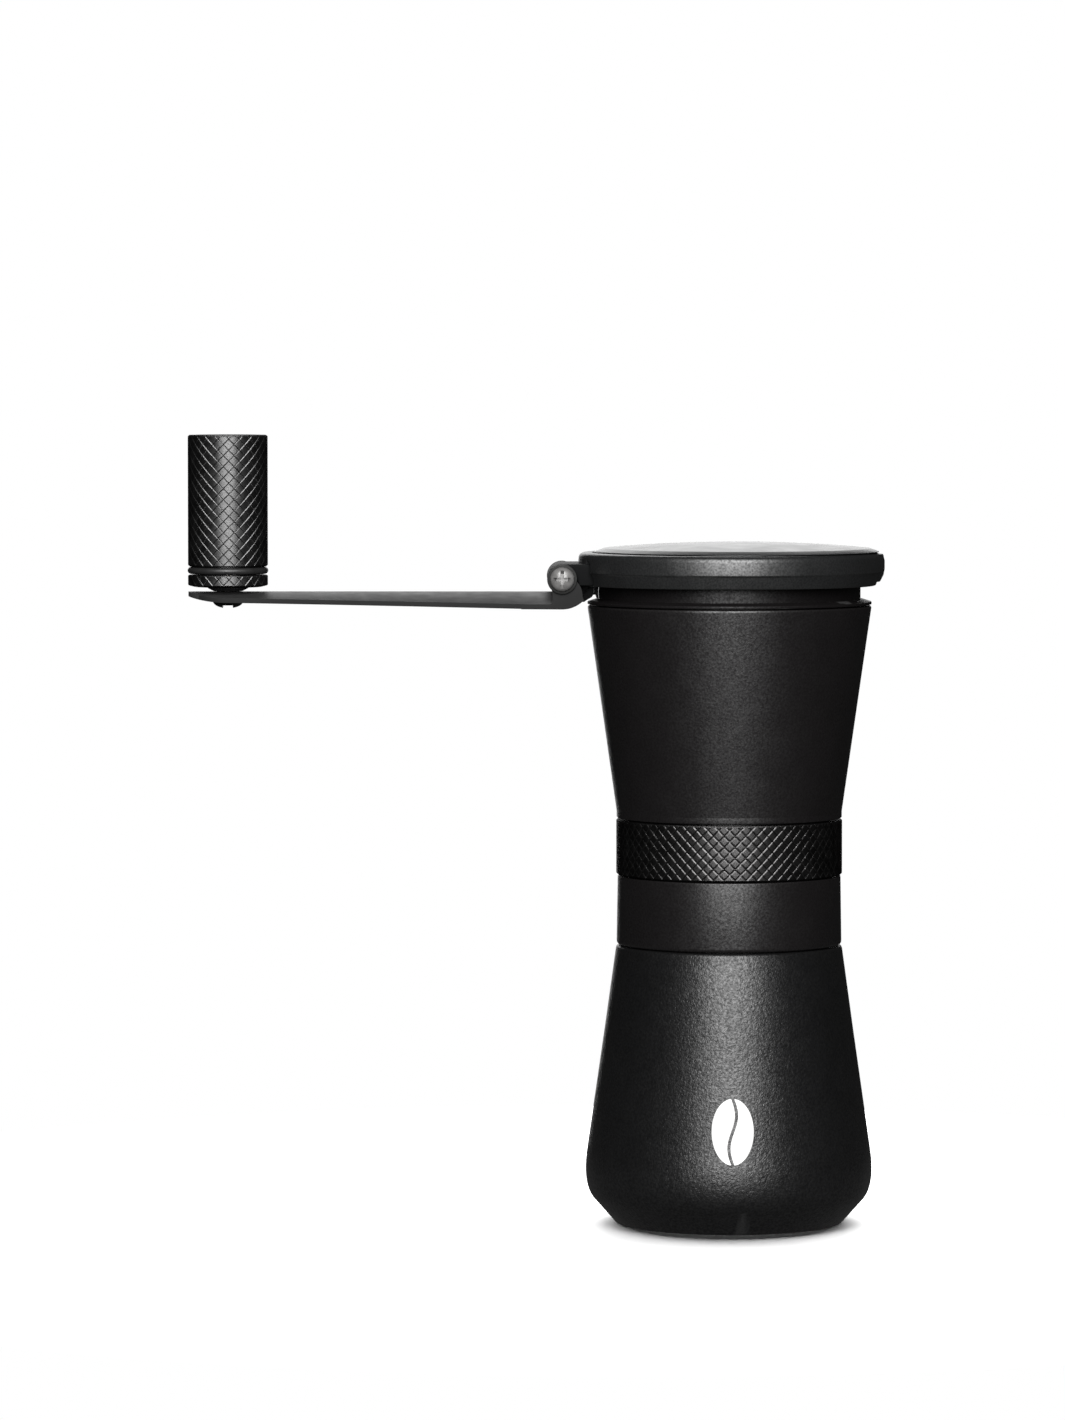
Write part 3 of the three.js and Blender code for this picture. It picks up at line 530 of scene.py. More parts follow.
KNOB_FOOT, KNOB_PARTING, KNOB_TOP = 149.4, 152.2, 185
KNOB_POST_BORE = 4.7
SHAFT = 4  # radius
HEX_FLAT = math.cos(math.pi / 6)  # a hexagon's flats, as a share of its corners


# ---- Cup ----

def cup_radius(z):
    """Radius of the cup's straight cone."""
    return CUP_CONE["radius"] - CUP_CONE["slope"] * (z - CUP_CONE["z"])


def make_cup():
    """A cup that leans out from its base to a round belly, then in to its rim."""
    foot, lean_top, cone_foot = 26.75, (31.7, 5.5), (CUP_CONE["radius"], CUP_CONE["z"])
    floor_z, seam_radius, mouth, thread_foot = 2.2, 26.48, 24.7, 56
    middle = 45
    outside = rounded([(0, 0, 0), (foot, 0, 0.7), (*lean_top, 0)], closed=False)
    outside += bezier(lean_top, (34.53, 8.66), cone_foot, 14)[1:]
    outside += [(cup_radius(z), z) for z in (30, middle)]
    inside = rounded([
        (cup_radius(middle), middle, 0), (seam_radius, CUP_TOP, 1.15), (mouth, CUP_TOP, 0.3),
        (mouth, thread_foot, 0.3), (26.1, 53.5, 1), (31.4, CUP_CONE["z"], 4), (31.6, 9.2, 3),
        (27, floor_z, 2), (0, floor_z, 0),
    ], closed=False)
    mesh = revolve("cup_shell", outside + inside[1:], 160, closed=False)
    add_piece(mesh, "cup", "powder_coat", "catch_cup")


def make_bean_mark():
    """A printed coffee bean on the cup's front: an oval in two halves, parted by an S-shaped line."""
    centre_z, half_height, half_width, gap = 24.6, 7.6, 4.9, 0.75
    sway, tip = 0.9, 0.03  # how far the parting line bends aside, and the share left off each end
    ink = 0.02  # how far the print stands off the cup, and its thickness
    rows, columns = 28, 10
    vertices, faces = [], []
    for side in (-1, 1):
        first = len(vertices)
        for i in range(rows + 1):
            s = -math.cos(math.pi * (tip + (1 - 2 * tip) * i / rows))
            outer = side * half_width * math.sqrt(max(0, 1 - s * s))
            inner = sway * math.sin(math.pi * s) + side * gap / 2
            if side * (outer - inner) < 0:
                inner = outer
            for j in range(columns + 1):
                x = inner + (outer - inner) * j / columns
                z = centre_z + half_height * s
                radius = cup_radius(z) + ink
                angle = x / radius
                vertices.append((radius * math.sin(angle), -radius * math.cos(angle), z))
        for i in range(rows):
            for j in range(columns):
                corner = first + i * (columns + 1) + j
                faces.append((corner, corner + 1, corner + columns + 2, corner + columns + 1))
    piece = add_piece(new_mesh("bean_mark", vertices, faces), "cup", "powder_coat", paint="white_print")
    thicken = piece.modifiers.new("ink", "SOLIDIFY")
    thicken.thickness = ink * MM


# ---- Housing ----

def make_lower_housing():
    """The smooth band, with the cup's spigot under it and the neck over it."""
    inner, spigot, seal_seat, neck = 20.9, 24.3, 23.4, 23.6
    spigot_foot, seal_foot, neck_top = 57.3, 63.6, 99.5
    profile = rounded([
        (inner, spigot_foot, 0.2), (spigot, spigot_foot, 0.5), (spigot, seal_foot, 0),
        (seal_seat, seal_foot, 0), (seal_seat, BAND_FOOT, 0.1), (26.42, BAND_FOOT, 0.85),
        (26.17, BAND_TOP, 0.4), (neck, BAND_TOP, 0.1), (neck, neck_top, 0.3), (inner, neck_top, 0.3),
    ])
    mesh = revolve("lower_band", profile, 160)
    add_piece(mesh, "housing", "anodised", "lower_housing")


def make_upper_housing():
    """The shell that widens to the lid, hollow for the beans."""
    waist, top, hopper_foot, throat, spider_seat = 26.44, 33.33, 110, 23, 24.6
    profile = rounded([
        (NECK, SHELL_FOOT, 0.1), (waist, SHELL_FOOT, 0.3), (waist, 96.8, 1.4), (top, SHELL_TOP, 0.6),
        (31.3, SHELL_TOP, 0.3), (26.3, hopper_foot, 4), (throat, 105.8, 0.6), (throat, 104.4, 0),
        (spider_seat, 104.4, 0), (spider_seat, 99.8, 0), (NECK, 99.8, 0),
    ])
    mesh = revolve("upper_shell", profile, 160)
    add_piece(mesh, "housing", "anodised", "upper_housing")


SPOKE_ANGLES = (90, 210, 330)


def spokes(inner, outer, low, high):
    """Three rounded bars from a hub to a rim."""
    half, fillet = 2.5, 0.8
    corners = ((-half, low), (half, low), (half, high), (-half, high))
    outline = rounded([(x, z, fillet) for x, z in corners])
    bars = []
    for angle in SPOKE_ANGLES:
        bar = plate("spoke", outline, -outer, -inner, bevel=0)
        bars.append(moved(bar, Matrix.Rotation(math.radians(angle + 90), 4, "Z")))
    return bars


def spider_hub(low, edge, top, seat, top_radius, top_fillet):
    """A spider's hub, which holds a bearing from below, up to its seat."""
    return revolve("hub", rounded([
        (HUB["bearing"], low, 0.2), (HUB["radius"], low, 0.4), (HUB["radius"], edge, HUB["shoulder"]),
        (top_radius, top, top_fillet), (HUB["passage"], top, 0.3), (HUB["passage"], seat, 0),
        (HUB["bearing"], seat, 0),
    ]), 64)


def make_hopper_ring():
    """The flange and collar on the shell, and the spider that holds the upper bearing."""
    inner, outer, top = COLLAR["inner"], COLLAR["radius"], COLLAR["top"]
    plug, flange, low, flange_foot, flange_top, step = 30.75, 33.3, 141, 145.4, 146, 146.6
    ring = revolve("ring", rounded([
        (inner, low, 0.3), (plug, low, 0.3), (plug, flange_foot, 0), (flange, flange_foot, 0.12),
        (flange, flange_top, 0.25), (31.4, step, 0.15), (outer, step, 0.1), (outer, top, 0.35),
        (inner, top, 0.35),
    ]), 160)
    hub = spider_hub(137, 144.5, 146, 142.3, 8.5, 0.5)
    mesh = joined("hopper_spider", ring, hub, *spokes(9.3, 29.4, low, 144))
    # The whole ring takes the duller copy of the anodised finish, which paints in the shade under the lid's
    # overhang.
    add_piece(mesh, "housing", "anodised", "hopper_ring", paint="shaded_collar_anodised")


def make_bridge():
    """The spider between neck and shell that holds the lower bearing."""
    inner, outer, low, high = 18.6, 24.3, 99.8, 104.1
    section = rounded([(inner, low, 0.4), (outer, low, 0.3), (outer, high, 0.3), (inner, high, 0.8)])
    rim = revolve("rim", section, 96)
    hub = spider_hub(96.8, 104.5, 106, 102.4, 6.5, 0.6)
    mesh = joined("lower_spider", rim, hub, *spokes(9.3, 19.6, low, high))
    add_piece(mesh, "housing", "nylon", "bearing_bridge")


# ---- Knurls ----

# starts: grooves of each set round the face; pitch: height from groove to groove; fine: points to a pitch
RING_KNURL = {"starts": 65, "pitch": 2.6, "fine": 13, "depth": 0.12}
KNOB_KNURL = {"starts": 23, "pitch": 2.57, "fine": 18, "depth": 0.092}


def knurled(name, radius, low, high, edge, before, after, knurl, closed=True, centre_x=0):
    """A turned piece with a knurled face between two heights, and the rest of its profile before and after.

    Two sets of V grooves cross at 45 degrees and leave flat diamonds. The face's rows and columns are a
    whole number to a pitch, so that each groove runs from point to point.
    """
    fine = knurl["fine"]
    height = high - low - 2 * edge
    count = round(height * fine / knurl["pitch"])
    step = height / count
    rows = [(radius - edge, low), (radius - edge / 2, low + edge / 2)]
    rows += [(radius, low + edge + step * i) for i in range(count + 1)]
    rows += [(radius - edge / 2, high - edge / 2), (radius - edge, high)]

    def cut(r, z, turn):
        if r < radius - 1 or not low - TINY <= z <= high + TINY:
            return r
        around = knurl["starts"] * turn
        along = (z - low - edge) / (step * fine)
        nearest = min(abs(s - round(s)) for s in (around + along, around - along))
        return min(r, radius - knurl["depth"] * max(0, 1 - nearest * fine))

    segments = knurl["starts"] * fine
    return revolve(name, before + rows + after, segments, closed, centre_x, cut, valleys=True)


def make_adjust_ring():
    mesh = knurled("knurled_ring", 26.52, RING_FOOT, RING_TOP, 0.3, [(NECK, RING_FOOT)], [(NECK, RING_TOP)],
                   RING_KNURL)
    add_piece(mesh, "adjuster", "anodised", "adjust_ring", paint="knurl_anodised")


def make_knob():
    """The grip, hollow over its post and narrower at its foot, for the O-ring."""
    low, boss_foot, boss, bore_top, dish = 154.2, 152.3, 7.4, 177, KNOB_TOP - 0.1
    before = [(0, bore_top), (KNOB_POST_BORE, bore_top), (KNOB_POST_BORE, boss_foot), (boss, boss_foot),
              (boss, low)]
    after = [(7.9, KNOB_TOP), (7.6, dish), (4, dish), (0, dish)]
    mesh = knurled("knob_barrel", KNOB_RADIUS, low, KNOB_TOP, 0.35, before, after, KNOB_KNURL, False, KNOB_X)
    # The knob's brighter copy of the knurl finish paints in a stronger highlight.
    add_piece(mesh, "knob", "anodised", "knob_grip", paint="knob_lit_anodised")


def make_knob_foot():
    low, chamfer = KNOB_FOOT, 0.35
    before = [(KNOB_POST_BORE, low), (7.8, low), (8.8, low + 0.25)]
    after = [(KNOB_POST_BORE, KNOB_PARTING)]
    mesh = knurled("knob_base", KNOB_RADIUS, low + chamfer, KNOB_PARTING, 0.2, before, after, KNOB_KNURL,
                   centre_x=KNOB_X)
    # The knob's brighter copy of the knurl finish paints in a stronger highlight.
    add_piece(mesh, "knob", "anodised", "knob_foot", paint="knob_lit_anodised")


# ---- Lid ----

THROUGH = 20  # half length of a cut that goes right through at the hinge


def on_hinge(mesh):
    """A mesh turned about Z, laid along Y on the hinge axis."""
    return moved(mesh, Matrix.Translation(HINGE * MM) @ Matrix.Rotation(math.radians(-90), 4, "X"))


def hinge_rod(radius, start, end, segments):
    """A plain rod on the hinge axis, to cut with."""
    profile = [(0, start), (radius, start), (radius, end), (0, end)]
    return on_hinge(revolve("rod", profile, segments, closed=False))


def make_lid_frame():
    """The lid's body with its reliefs for the arm's ears, the stop under it and the tab opposite."""
    bore, bottom, deck, floor, rim = LID["bore"], LID["bottom"], LID["deck"], LID["floor"], LID["rim"]
    groove, groove_top = (28.4, 30.6), 151.4
    skirt_inner, wall_inner, waist_z = 31.2, 32.2, 152.6
    body = revolve("body", rounded([
        (bore, deck, 0.2), (groove[0], deck, 0.1), (groove[0], groove_top, 0), (groove[1], groove_top, 0),
        (groove[1], deck, 0.1), (skirt_inner, deck, 0), (skirt_inner, bottom, 0.3), (34.3, bottom, 0.5),
        (35.15, waist_z, 0.4), (LID["radius"], 153.0, 0.4), (35.4, rim, 1.7), (wall_inner, rim, 0.25),
        (wall_inner, floor, 0.2), (bore, floor, 0.2),
    ], steps=6), 200)
    gap = 0.3
    ends = ((-ARM_ROOT - gap, -RELIEF), (RELIEF, ARM_ROOT + gap))
    reliefs = [hinge_rod(HEEL + gap, start, end, 64) for start, end in ends]
    skirt = combine("relieved", body, reliefs, "DIFFERENCE")
    stop_right, stop_foot, stop_top = -31.7, 145.95, 150.2
    stop = plate("stop", rounded([
        (stop_right, stop_top, 0), (stop_right, 148.1, 0.4), (-32.3, 147.1, 0.3), (-33.4, 146.45, 0.3),
        (-34.1, stop_foot, 0.2), (-34.8, stop_foot, 0.2), (-34.85, 147.1, 0.3), (-32.9, 149.2, 0.2),
        (-32.9, stop_top, 0),
    ]), -3.5, 3.5, 0.2)
    mesh = joined("lid_body", skirt, stop, thumb_tab())
    piece = add_piece(mesh, "crank_lid", "lid_plastic", "lid_frame")
    # Faces by the hinge that face along Y take the darker copy of the plastic, as painted shade.
    piece.data.materials.append(PAINT["shaded_lug_plastic"])
    for face in piece.data.polygons:
        if abs(face.normal.y) > FLAT_SIDE and face.center.x < -31.9 * MM:
            face.material_index = 1


def thumb_tab():
    """A bulge on the lid's far side, deepest in its middle."""
    root, wall, outermost, low, high = 33, 35.3, 36.38, 150.65, 157.15
    section = rounded([
        (root, low, 0.2), (wall, low, 0.3), (36.1, 152.2, 0.5), (outermost, 153.6, 0.5),
        (outermost, 155.6, 0.6), (36, high, 0.35), (root, high, 0.2),
    ])
    half, steps = 6.2, 24
    vertices, faces = [], []
    for i in range(steps + 1):
        y = half * math.sin(math.pi * (i / steps - 0.5))
        swell = math.sqrt(max(0, 1 - (y / half) ** 2))
        lid_wall = math.sqrt(wall ** 2 - y ** 2)
        for x, z in section:
            vertices.append((root + (x - root) * swell + (lid_wall - wall) * (1 - swell), y, z))
    count = len(section)
    for i in range(steps):
        for j in range(count):
            k = (j + 1) % count
            faces.append((i * count + j, i * count + k, (i + 1) * count + k, (i + 1) * count + j))
    return new_mesh("tab", vertices, faces)


def make_hinge_lug():
    """The block that the hinge screw runs through, and the web that backs the fold stop."""
    barrel = circle(HINGE.x, HINGE.z, HINGE_BARREL, 90, 345, 24)
    inner = circle(HINGE.x, HINGE.z, HEEL + 0.45, -12, 27, 8)
    block = plate("block", barrel + [(-35.9, 151.9), (-35.35, 150)] + inner, -LUG_HALF, LUG_HALF, 0.3)
    for vertex in block.vertices:
        drop = (HINGE.z + HINGE_BARREL) * MM - vertex.co.z
        vertex.co.y *= 1 - LUG_DRAFT * drop / (LUG_HALF * MM)
    bush_bore = 2.7
    block = combine("bored", block, [hinge_rod(bush_bore, -THROUGH, THROUGH, 48)], "DIFFERENCE")
    right, top, low, middle = -30.76, 150.2, 146.8, 147.6
    web = plate("web", rounded([
        (right, top, 0), (right, low, 0.1), (-31.2, low, 0.1), (-31.5, middle, 0.1), (-34.6, middle, 0.1),
        (-35.2, top, 0),
    ]), -2.6, 2.6, 0.05)
    mesh = joined("hinge_lug", block, web)
    # The lug takes the darker copy of the lid's plastic, as painted shade.
    add_piece(mesh, "crank_lid", "lid_plastic", "lid_frame", paint="shaded_lug_plastic")


def make_top_plate():
    """A bevelled, slightly domed plate that sits off the lid's centre, on a plug in the lid."""
    offset, bevel, bevel_z, crown = 1.8, 31.1, 158.5, 159.9
    rim, rim_foot, rim_top = 33.2, 157.6, 157.78
    rise = crown - bevel_z
    dome = [(r, bevel_z + rise * (1 - (r / bevel) ** 2)) for r in (30.6, 28, 24, 20, 16, 12, 8, 4)]
    edge = rounded([
        (0, rim_foot, 0), (rim, rim_foot, 0.08), (rim, rim_top, 0.1), (bevel, bevel_z, 0.35), (*dome[0], 0),
    ], closed=False)
    cap = revolve("cap", edge + dome[1:] + [(0, crown)], 200, closed=False, centre_x=offset)
    inner, outer, low, high = 30.4, 31.9, 153.6, 157.7
    ring = rounded([(inner, low, 0.2), (outer, low, 0.2), (outer, high, 0), (inner, high, 0)])
    plug = revolve("plug", ring, 128)
    mesh = joined("lid_cap", cap, plug)
    add_piece(mesh, "crank_lid", "lid_plastic", "lid_top_plate", paint="cap_plastic")


# ---- Arm ----

ARM_FULL_X = HINGE.x - 4  # where the arm reaches its full width
SHEET_END_X = HINGE.x - 2.2  # where its sheet ends, at the hinge


def arm_half_width(x):
    """Half the arm's width at x: a round tip, then straight sides that widen to the root."""
    if x < KNOB_X:
        return math.sqrt(max(0, ARM_TIP ** 2 - (KNOB_X - x) ** 2))
    return min(ARM_ROOT, ARM_TIP + (ARM_ROOT - ARM_TIP) * (x - KNOB_X) / (ARM_FULL_X - KNOB_X))


def arm_sheet():
    """The curved sheet, as a grid that is dense round the tip."""
    round_steps, straight_steps, across = 16, 14, 24
    lengthwise = [KNOB_X - ARM_TIP * math.cos(math.pi / 2 * i / round_steps) for i in range(round_steps)]
    lengthwise += [KNOB_X + (SHEET_END_X - KNOB_X) * i / straight_steps for i in range(straight_steps + 1)]
    vertices = []
    for radius in (ARM_CURVE, ARM_CURVE - SHEET):
        for x in lengthwise:
            half = max(arm_half_width(x), 0.02)
            for j in range(across + 1):
                y = half * math.sin(math.pi / 2 * (2 * j / across - 1))
                vertices.append((x, y, CREST - ARM_CURVE + math.sqrt(radius ** 2 - y ** 2)))
    wide = across + 1
    layer = wide * len(lengthwise)
    faces = []
    for i in range(len(lengthwise) - 1):
        for j in range(across):
            a = i * wide + j
            faces.append((a, a + 1, a + wide + 1, a + wide))
            faces.append(tuple(layer + k for k in (a, a + wide, a + wide + 1, a + 1)))
        for edge in (i * wide, i * wide + across):
            faces.append((edge, edge + wide, layer + edge + wide, layer + edge))
    for row in (0, len(lengthwise) - 1):
        for j in range(across):
            a = row * wide + j
            faces.append((a, a + 1, layer + a + 1, layer + a))
    return new_mesh("sheet", vertices, faces)


def ear(side):
    """An upright plate of the arm's fork, its outline taken from the hinge axis."""
    tail = -9.5
    outline = [(tail, 0.05 - HEEL)] + circle(0, 0, HEEL, 270, 316, 10)
    outline += bezier((4.75, -4.2), (4.75, -2.6), (4.1, -1.5), 4) + [(3.5, -0.6)]
    outline += circle(0, 0, HINGE_BARREL, 0, 224, 26)
    outline += bezier((-2.4, -2.6), (-2, -5.75), (-2.7, -5.8), 8) + [(tail, -5.85)]
    outline = [(HINGE.x + x, HINGE.z + z) for x, z in outline]
    start, end = sorted((side * (ARM_ROOT - SHEET), side * ARM_ROOT))
    return plate("ear", outline, start, end, bevel=0)


def make_arm():
    solid = combine("forked", arm_sheet(), [ear(-1), ear(1)], "UNION")
    hole = hinge_rod(PIVOT_HOLE, -THROUGH, THROUGH, 32)
    solid = combine("crank_arm_strip", solid, [hole], "DIFFERENCE")
    bevel_edges(solid, steep(50), 0.16)
    piece = add_piece(solid, "arm", "coated_strip", "crank_arm")
    # Faces along Y take the darker copy of the coating, as painted shade; the rest take the lighter copy, as
    # painted light.
    piece.data.materials.append(PAINT["coated_rim"])
    for face in piece.data.polygons:
        face.material_index = 1 if abs(face.normal.y) > FLAT_SIDE else 0


# ---- Screws and nuts ----

def cross_tool(reach, depth, top):
    """A cross-shaped punch that narrows as it goes down from top."""
    low, shoulder, above, half = top - depth, top - 0.45, top + 0.5, 0.42
    point = 0.6 * reach
    outline = [(-reach, above), (-reach, shoulder), (-point, low), (point, low), (reach, shoulder),
               (reach, above)]
    return [
        moved(plate("blade", outline, -half, half, bevel=0), Matrix.Rotation(math.radians(angle), 4, "Z"))
        for angle in (0, 90)
    ]


def pan_head(radius, height, top):
    """Profile of a domed pan head from its rim up to the axis."""
    shoulder = (radius, top - 0.7 * height)
    fullness = (0.86 * radius, top - 0.04 * height)
    return [(radius, top - height), shoulder] + bezier(shoulder, fullness, (0, top), 14)


def make_hinge_screw():
    head, head_height, thread, tip = 13.95, 1.9, 1.5, -17.4
    top = head + head_height
    profile = [(0, tip), (thread - 0.3, tip), (thread, -17.1), (thread, head)]
    profile += pan_head(2.8, head_height, top)
    blank = revolve("blank", profile, 64, closed=False)
    screw = combine("pivot_screw", blank, cross_tool(2.15, 1.4, top), "DIFFERENCE", 30)
    turn = Matrix.Rotation(math.pi, 4, "X")
    add_piece(on_hinge(moved(screw, turn)), "arm", "bright_steel", "hinge_screw", paint="zinc_plate")


def make_hinge_washers():
    outer, fillet = 3.5, 0.12
    for side, low in (("front", -13.85), ("back", 13.35)):
        high = low + 0.5
        profile = rounded([(PIVOT_HOLE, low, 0.05), (outer, low, fillet), (outer, high, fillet),
                           (PIVOT_HOLE, high, 0.05)])
        mesh = on_hinge(revolve(f"{side}_washer", profile, 64))
        add_piece(mesh, "arm", "bright_steel", f"hinge_washer_{side}", paint="black_oxide")


def hexagon(turn):
    """How far out a hexagon's side is at this turn, as a share of its flats' radius."""
    return 1 / math.cos(((turn * 6) % 1 - 0.5) * math.pi / 3)


def hex_nut(name, corner, low, high, bore):
    """A hexagonal nut with chamfered corners."""
    flat = corner * HEX_FLAT
    chamfer = 0.35

    def six_sided(r, z, turn):
        return min(r, flat * hexagon(turn)) if r >= bore + 0.6 else r

    profile = [(bore, low), (flat * 0.93, low), (corner, low + chamfer), (corner, high - chamfer),
               (flat * 0.93, high), (bore, high)]
    return revolve(name, profile, 96, radius_at=six_sided)


def make_nuts():
    pivot_nut = on_hinge(hex_nut("pivot_nut", 3.18, 13.95, 16.35, 1.65))
    add_piece(pivot_nut, "arm", "bright_steel", "hinge_nut")
    add_piece(hex_nut("shaft_nut", 4.6, 61.9, 65.9, 2.8), "drive", "bright_steel", "burr_nut")


def make_knob_screw():
    """A slotted screw up through the arm's tip, made upside down."""
    under = CREST - SHEET - 0.1
    thread, tip, top = 1.5, -165, 2.8 - under
    profile = [(0, tip), (thread, tip), (thread, 0.3 - under)] + pan_head(3.65, 2.4, top)
    blank = revolve("blank", profile, 64, closed=False)
    half, slot_foot, above = 1.2, top - 0.75, top + 1
    outline = [(-half, slot_foot), (half, slot_foot), (half, above), (-half, above)]
    slot = plate("slot", outline, -5, 5, bevel=0)
    screw = combine("grip_screw", blank, [slot], "DIFFERENCE", 30)
    place = Matrix.Translation((KNOB_X * MM, 0, 0)) @ Matrix.Rotation(math.pi, 4, "X")
    add_piece(moved(screw, place), "arm", "bright_steel", "knob_screw", paint="black_oxide")


# ---- Other turned pieces ----

# name, node, body, slot and finish, centre x, profile
TURNED = (
    ("seam_seal", "cup_seal", "housing", "rubber", 0, circle(24, 64.55, 0.5, steps=24)),
    ("knob_band", "knob_o_ring", "knob", "rubber", KNOB_X, circle(8.66, 153.25, 0.8, steps=24)),
    ("boss_washer", "thrust_washer", "arm", "nylon", KNOB_X,
     rounded([(2.9, 148.4, 0), (3.4, 148.4, 0.2), (5.2, 149.3, 0.2), (2.9, 149.3, 0)])),
    ("knob_post", "knob_axle", "arm", "bright_steel", KNOB_X,
     rounded([(1.8, 148.4, 0.1), (2.6, 148.4, 0.1), (2.6, 173, 0), (4.2, 173, 0.3), (4.2, 175, 0.3),
              (1.8, 175, 0.2)])),
    ("knob_sleeve", "knob_bush", "knob", "brass", KNOB_X,
     rounded([(2.9, 149.5, 0.2), (4.4, 149.5, 0.2), (4.4, 172.7, 0.2), (2.9, 172.7, 0.2)])),
    ("glide_band", "lid_glide_ring", "crank_lid", "nylon", 0,
     rounded([(28.7, 150.3, 0.2), (30.3, 150.3, 0.2), (30.3, 151.1, 0.1), (28.7, 151.1, 0.1)])),
    ("top_clip", "shaft_clip", "drive", "bright_steel", 0,
     rounded([(4.3, 146.3, 0.1), (6.4, 146.3, 0.2), (6.4, 147.1, 0.2), (4.3, 147.1, 0.1)])),
    ("shaft_spacer", "spacer_sleeve", "drive", "brass", 0,
     rounded([(4.3, 88.3, 0.2), (5.6, 88.3, 0.3), (5.6, 96.5, 0.3), (4.3, 96.5, 0.2)])),
    ("under_washer", "burr_washer", "drive", "bright_steel", 0,
     rounded([(2.8, 66.2, 0.1), (7, 66.2, 0.2), (7, 67.2, 0.2), (2.8, 67.2, 0.1)])),
    ("burr_clip", "burr_retainer", "burr_carriage", "bright_steel", 0,
     rounded([(18.2, 66.7, 0.2), (19, 66.7, 0.1), (19, 67.7, 0.1), (18.2, 67.7, 0.2)])),
    ("burr_holder", "burr_carrier", "burr_carriage", "nylon", 0,
     rounded([(19.3, 66.4, 0.2), (20.6, 66.4, 0.3), (20.6, 93, 0.3), (18.2, 93, 0.4), (17, 84, 1),
              (17, 82.3, 0), (19.3, 82.3, 0)])),
)


def make_turned():
    for name, node, body, slot, centre_x, profile in TURNED:
        mesh = revolve(name, profile, 96, centre_x=centre_x)
        add_piece(mesh, body, slot, node)


def make_bearings():
    """Two races with a recess between them, in each end of the housing."""
    bore, inner_race, outer_race, rim, height, recess = 4.3, 5.4, 6.9, 8, 5, 0.4
    for name, node, low in (("top_bearing", "upper_bearing", 137), ("bottom_bearing", "lower_bearing", 97.1)):
        high = low + height
        profile = rounded([
            (bore, low, 0.3), (inner_race, low, 0.1), (inner_race, low + recess, 0),
            (outer_race, low + recess, 0), (outer_race, low, 0.1), (rim, low, 0.3),
            (rim, high, 0.3), (outer_race, high, 0.1), (outer_race, high - recess, 0),
            (inner_race, high - recess, 0), (inner_race, high, 0.1), (bore, high, 0.3),
        ], steps=2)
        add_piece(revolve(name, profile, 64), "housing", "bright_steel", node)


def make_shaft():
    """A round shaft, thinner where the burr sits, with a hexagonal end for the lid."""
    hex_foot, top, burr_seat, thread, tip = 147.4, 154.6, 67.7, 2.5, 60.4

    def hexagonal(r, z, turn):
        return min(r, SHAFT * HEX_FLAT * hexagon(turn)) if z >= hex_foot - 0.01 and r >= 1 else r

    profile = [(0, tip), (thread - 0.3, tip), (thread, tip + 0.3), (thread, burr_seat),
               (SHAFT - 0.2, burr_seat), (SHAFT, burr_seat + 0.2), (SHAFT, hex_foot - 0.02),
               (SHAFT, hex_foot), (SHAFT, top - 0.4), (SHAFT - 0.6, top), (0, top)]
    mesh = revolve("hex_shaft", profile, 96, closed=False, radius_at=hexagonal)
    add_piece(mesh, "drive", "bright_steel", "drive_shaft")


def make_socket():
    """A flanged brass cap with a hexagonal hole, under the lid's floor."""
    hole, hole_top, foot, flange_foot, flange, flange_top, top = 4.35, 154.9, 147.6, 153.6, 13.5, 155, 156.4

    def hexagonal(r, z, turn):
        return r * HEX_FLAT * hexagon(turn) if r <= hole + 0.01 else r

    outside = rounded([
        (5, foot, 0), (7.4, foot, 0.3), (8.8, 149, 0.3), (8.8, flange_foot, 0), (flange, flange_foot, 0.2),
        (flange, flange_top, 0.3), (7.6, flange_top, 0.3), (7, top, 0.5), (0, top, 0),
    ], closed=False)
    profile = [(0, hole_top), (hole, hole_top), (hole, foot + 0.3), (4.8, foot)] + outside
    mesh = revolve("hex_socket", profile, 96, closed=False, radius_at=hexagonal)
    add_piece(mesh, "crank_lid", "brass", "drive_socket")


def make_cone_burr():
    """A cone with teeth that twist as they climb."""
    teeth, low, high, rows = 24, 67.5, 88, 20
    foot_radius, top_radius, bore, twist, tooth = 17.4, 8.2, 4.3, 70, 0.1
    height, narrowing = high - low, foot_radius - top_radius

    def toothed(r, z, turn):
        if r < bore + 0.1:
            return r
        climb = (z - low) / height
        wave = (turn * teeth - climb * teeth * twist / 360) % 1
        return r * (1 - tooth * wave)

    side = [(foot_radius - narrowing * i / rows, low + height * i / rows) for i in range(rows + 1)]
    mesh = revolve("cone_burr", [(bore, low)] + side + [(bore, high)], teeth * 8, radius_at=toothed)
    add_piece(mesh, "drive", "burr_steel", "inner_burr")


def make_ring_burr():
    """A ring whose bore narrows upwards, with teeth that lean as they climb."""
    teeth, low, high, rows = 36, 68, 82, 12
    outer, foot_radius, narrowing, lean, tooth = 19, 18, 5, 10, 0.5
    height = high - low

    def toothed(r, z, turn):
        if r > foot_radius + 0.2:
            return r
        wave = (turn * teeth + (z - low) / lean) % 1
        return r + tooth * wave

    inside = [(foot_radius - narrowing * i / rows, low + height * i / rows) for i in range(rows, -1, -1)]
    mesh = revolve("ring_burr", [(outer, low), (outer, high)] + inside, teeth * 8, radius_at=toothed)
    add_piece(mesh, "burr_carriage", "burr_steel", "outer_burr")


def paint_kept_nodes():
    """The small pieces that stay as the CAD made them get their own finish."""
    steel = ["detent_ball", "detent_spring", "carrier_spring"]
    steel += [f"{name}_{number}" for name in ("follower_pin", "socket_screw") for number in (1, 2, 3)]
    for paint, names in (("bright_steel", steel), ("brass", ["hinge_bush"])):
        for name in names:
            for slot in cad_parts[name].material_slots:
                slot.material = PAINT[paint]


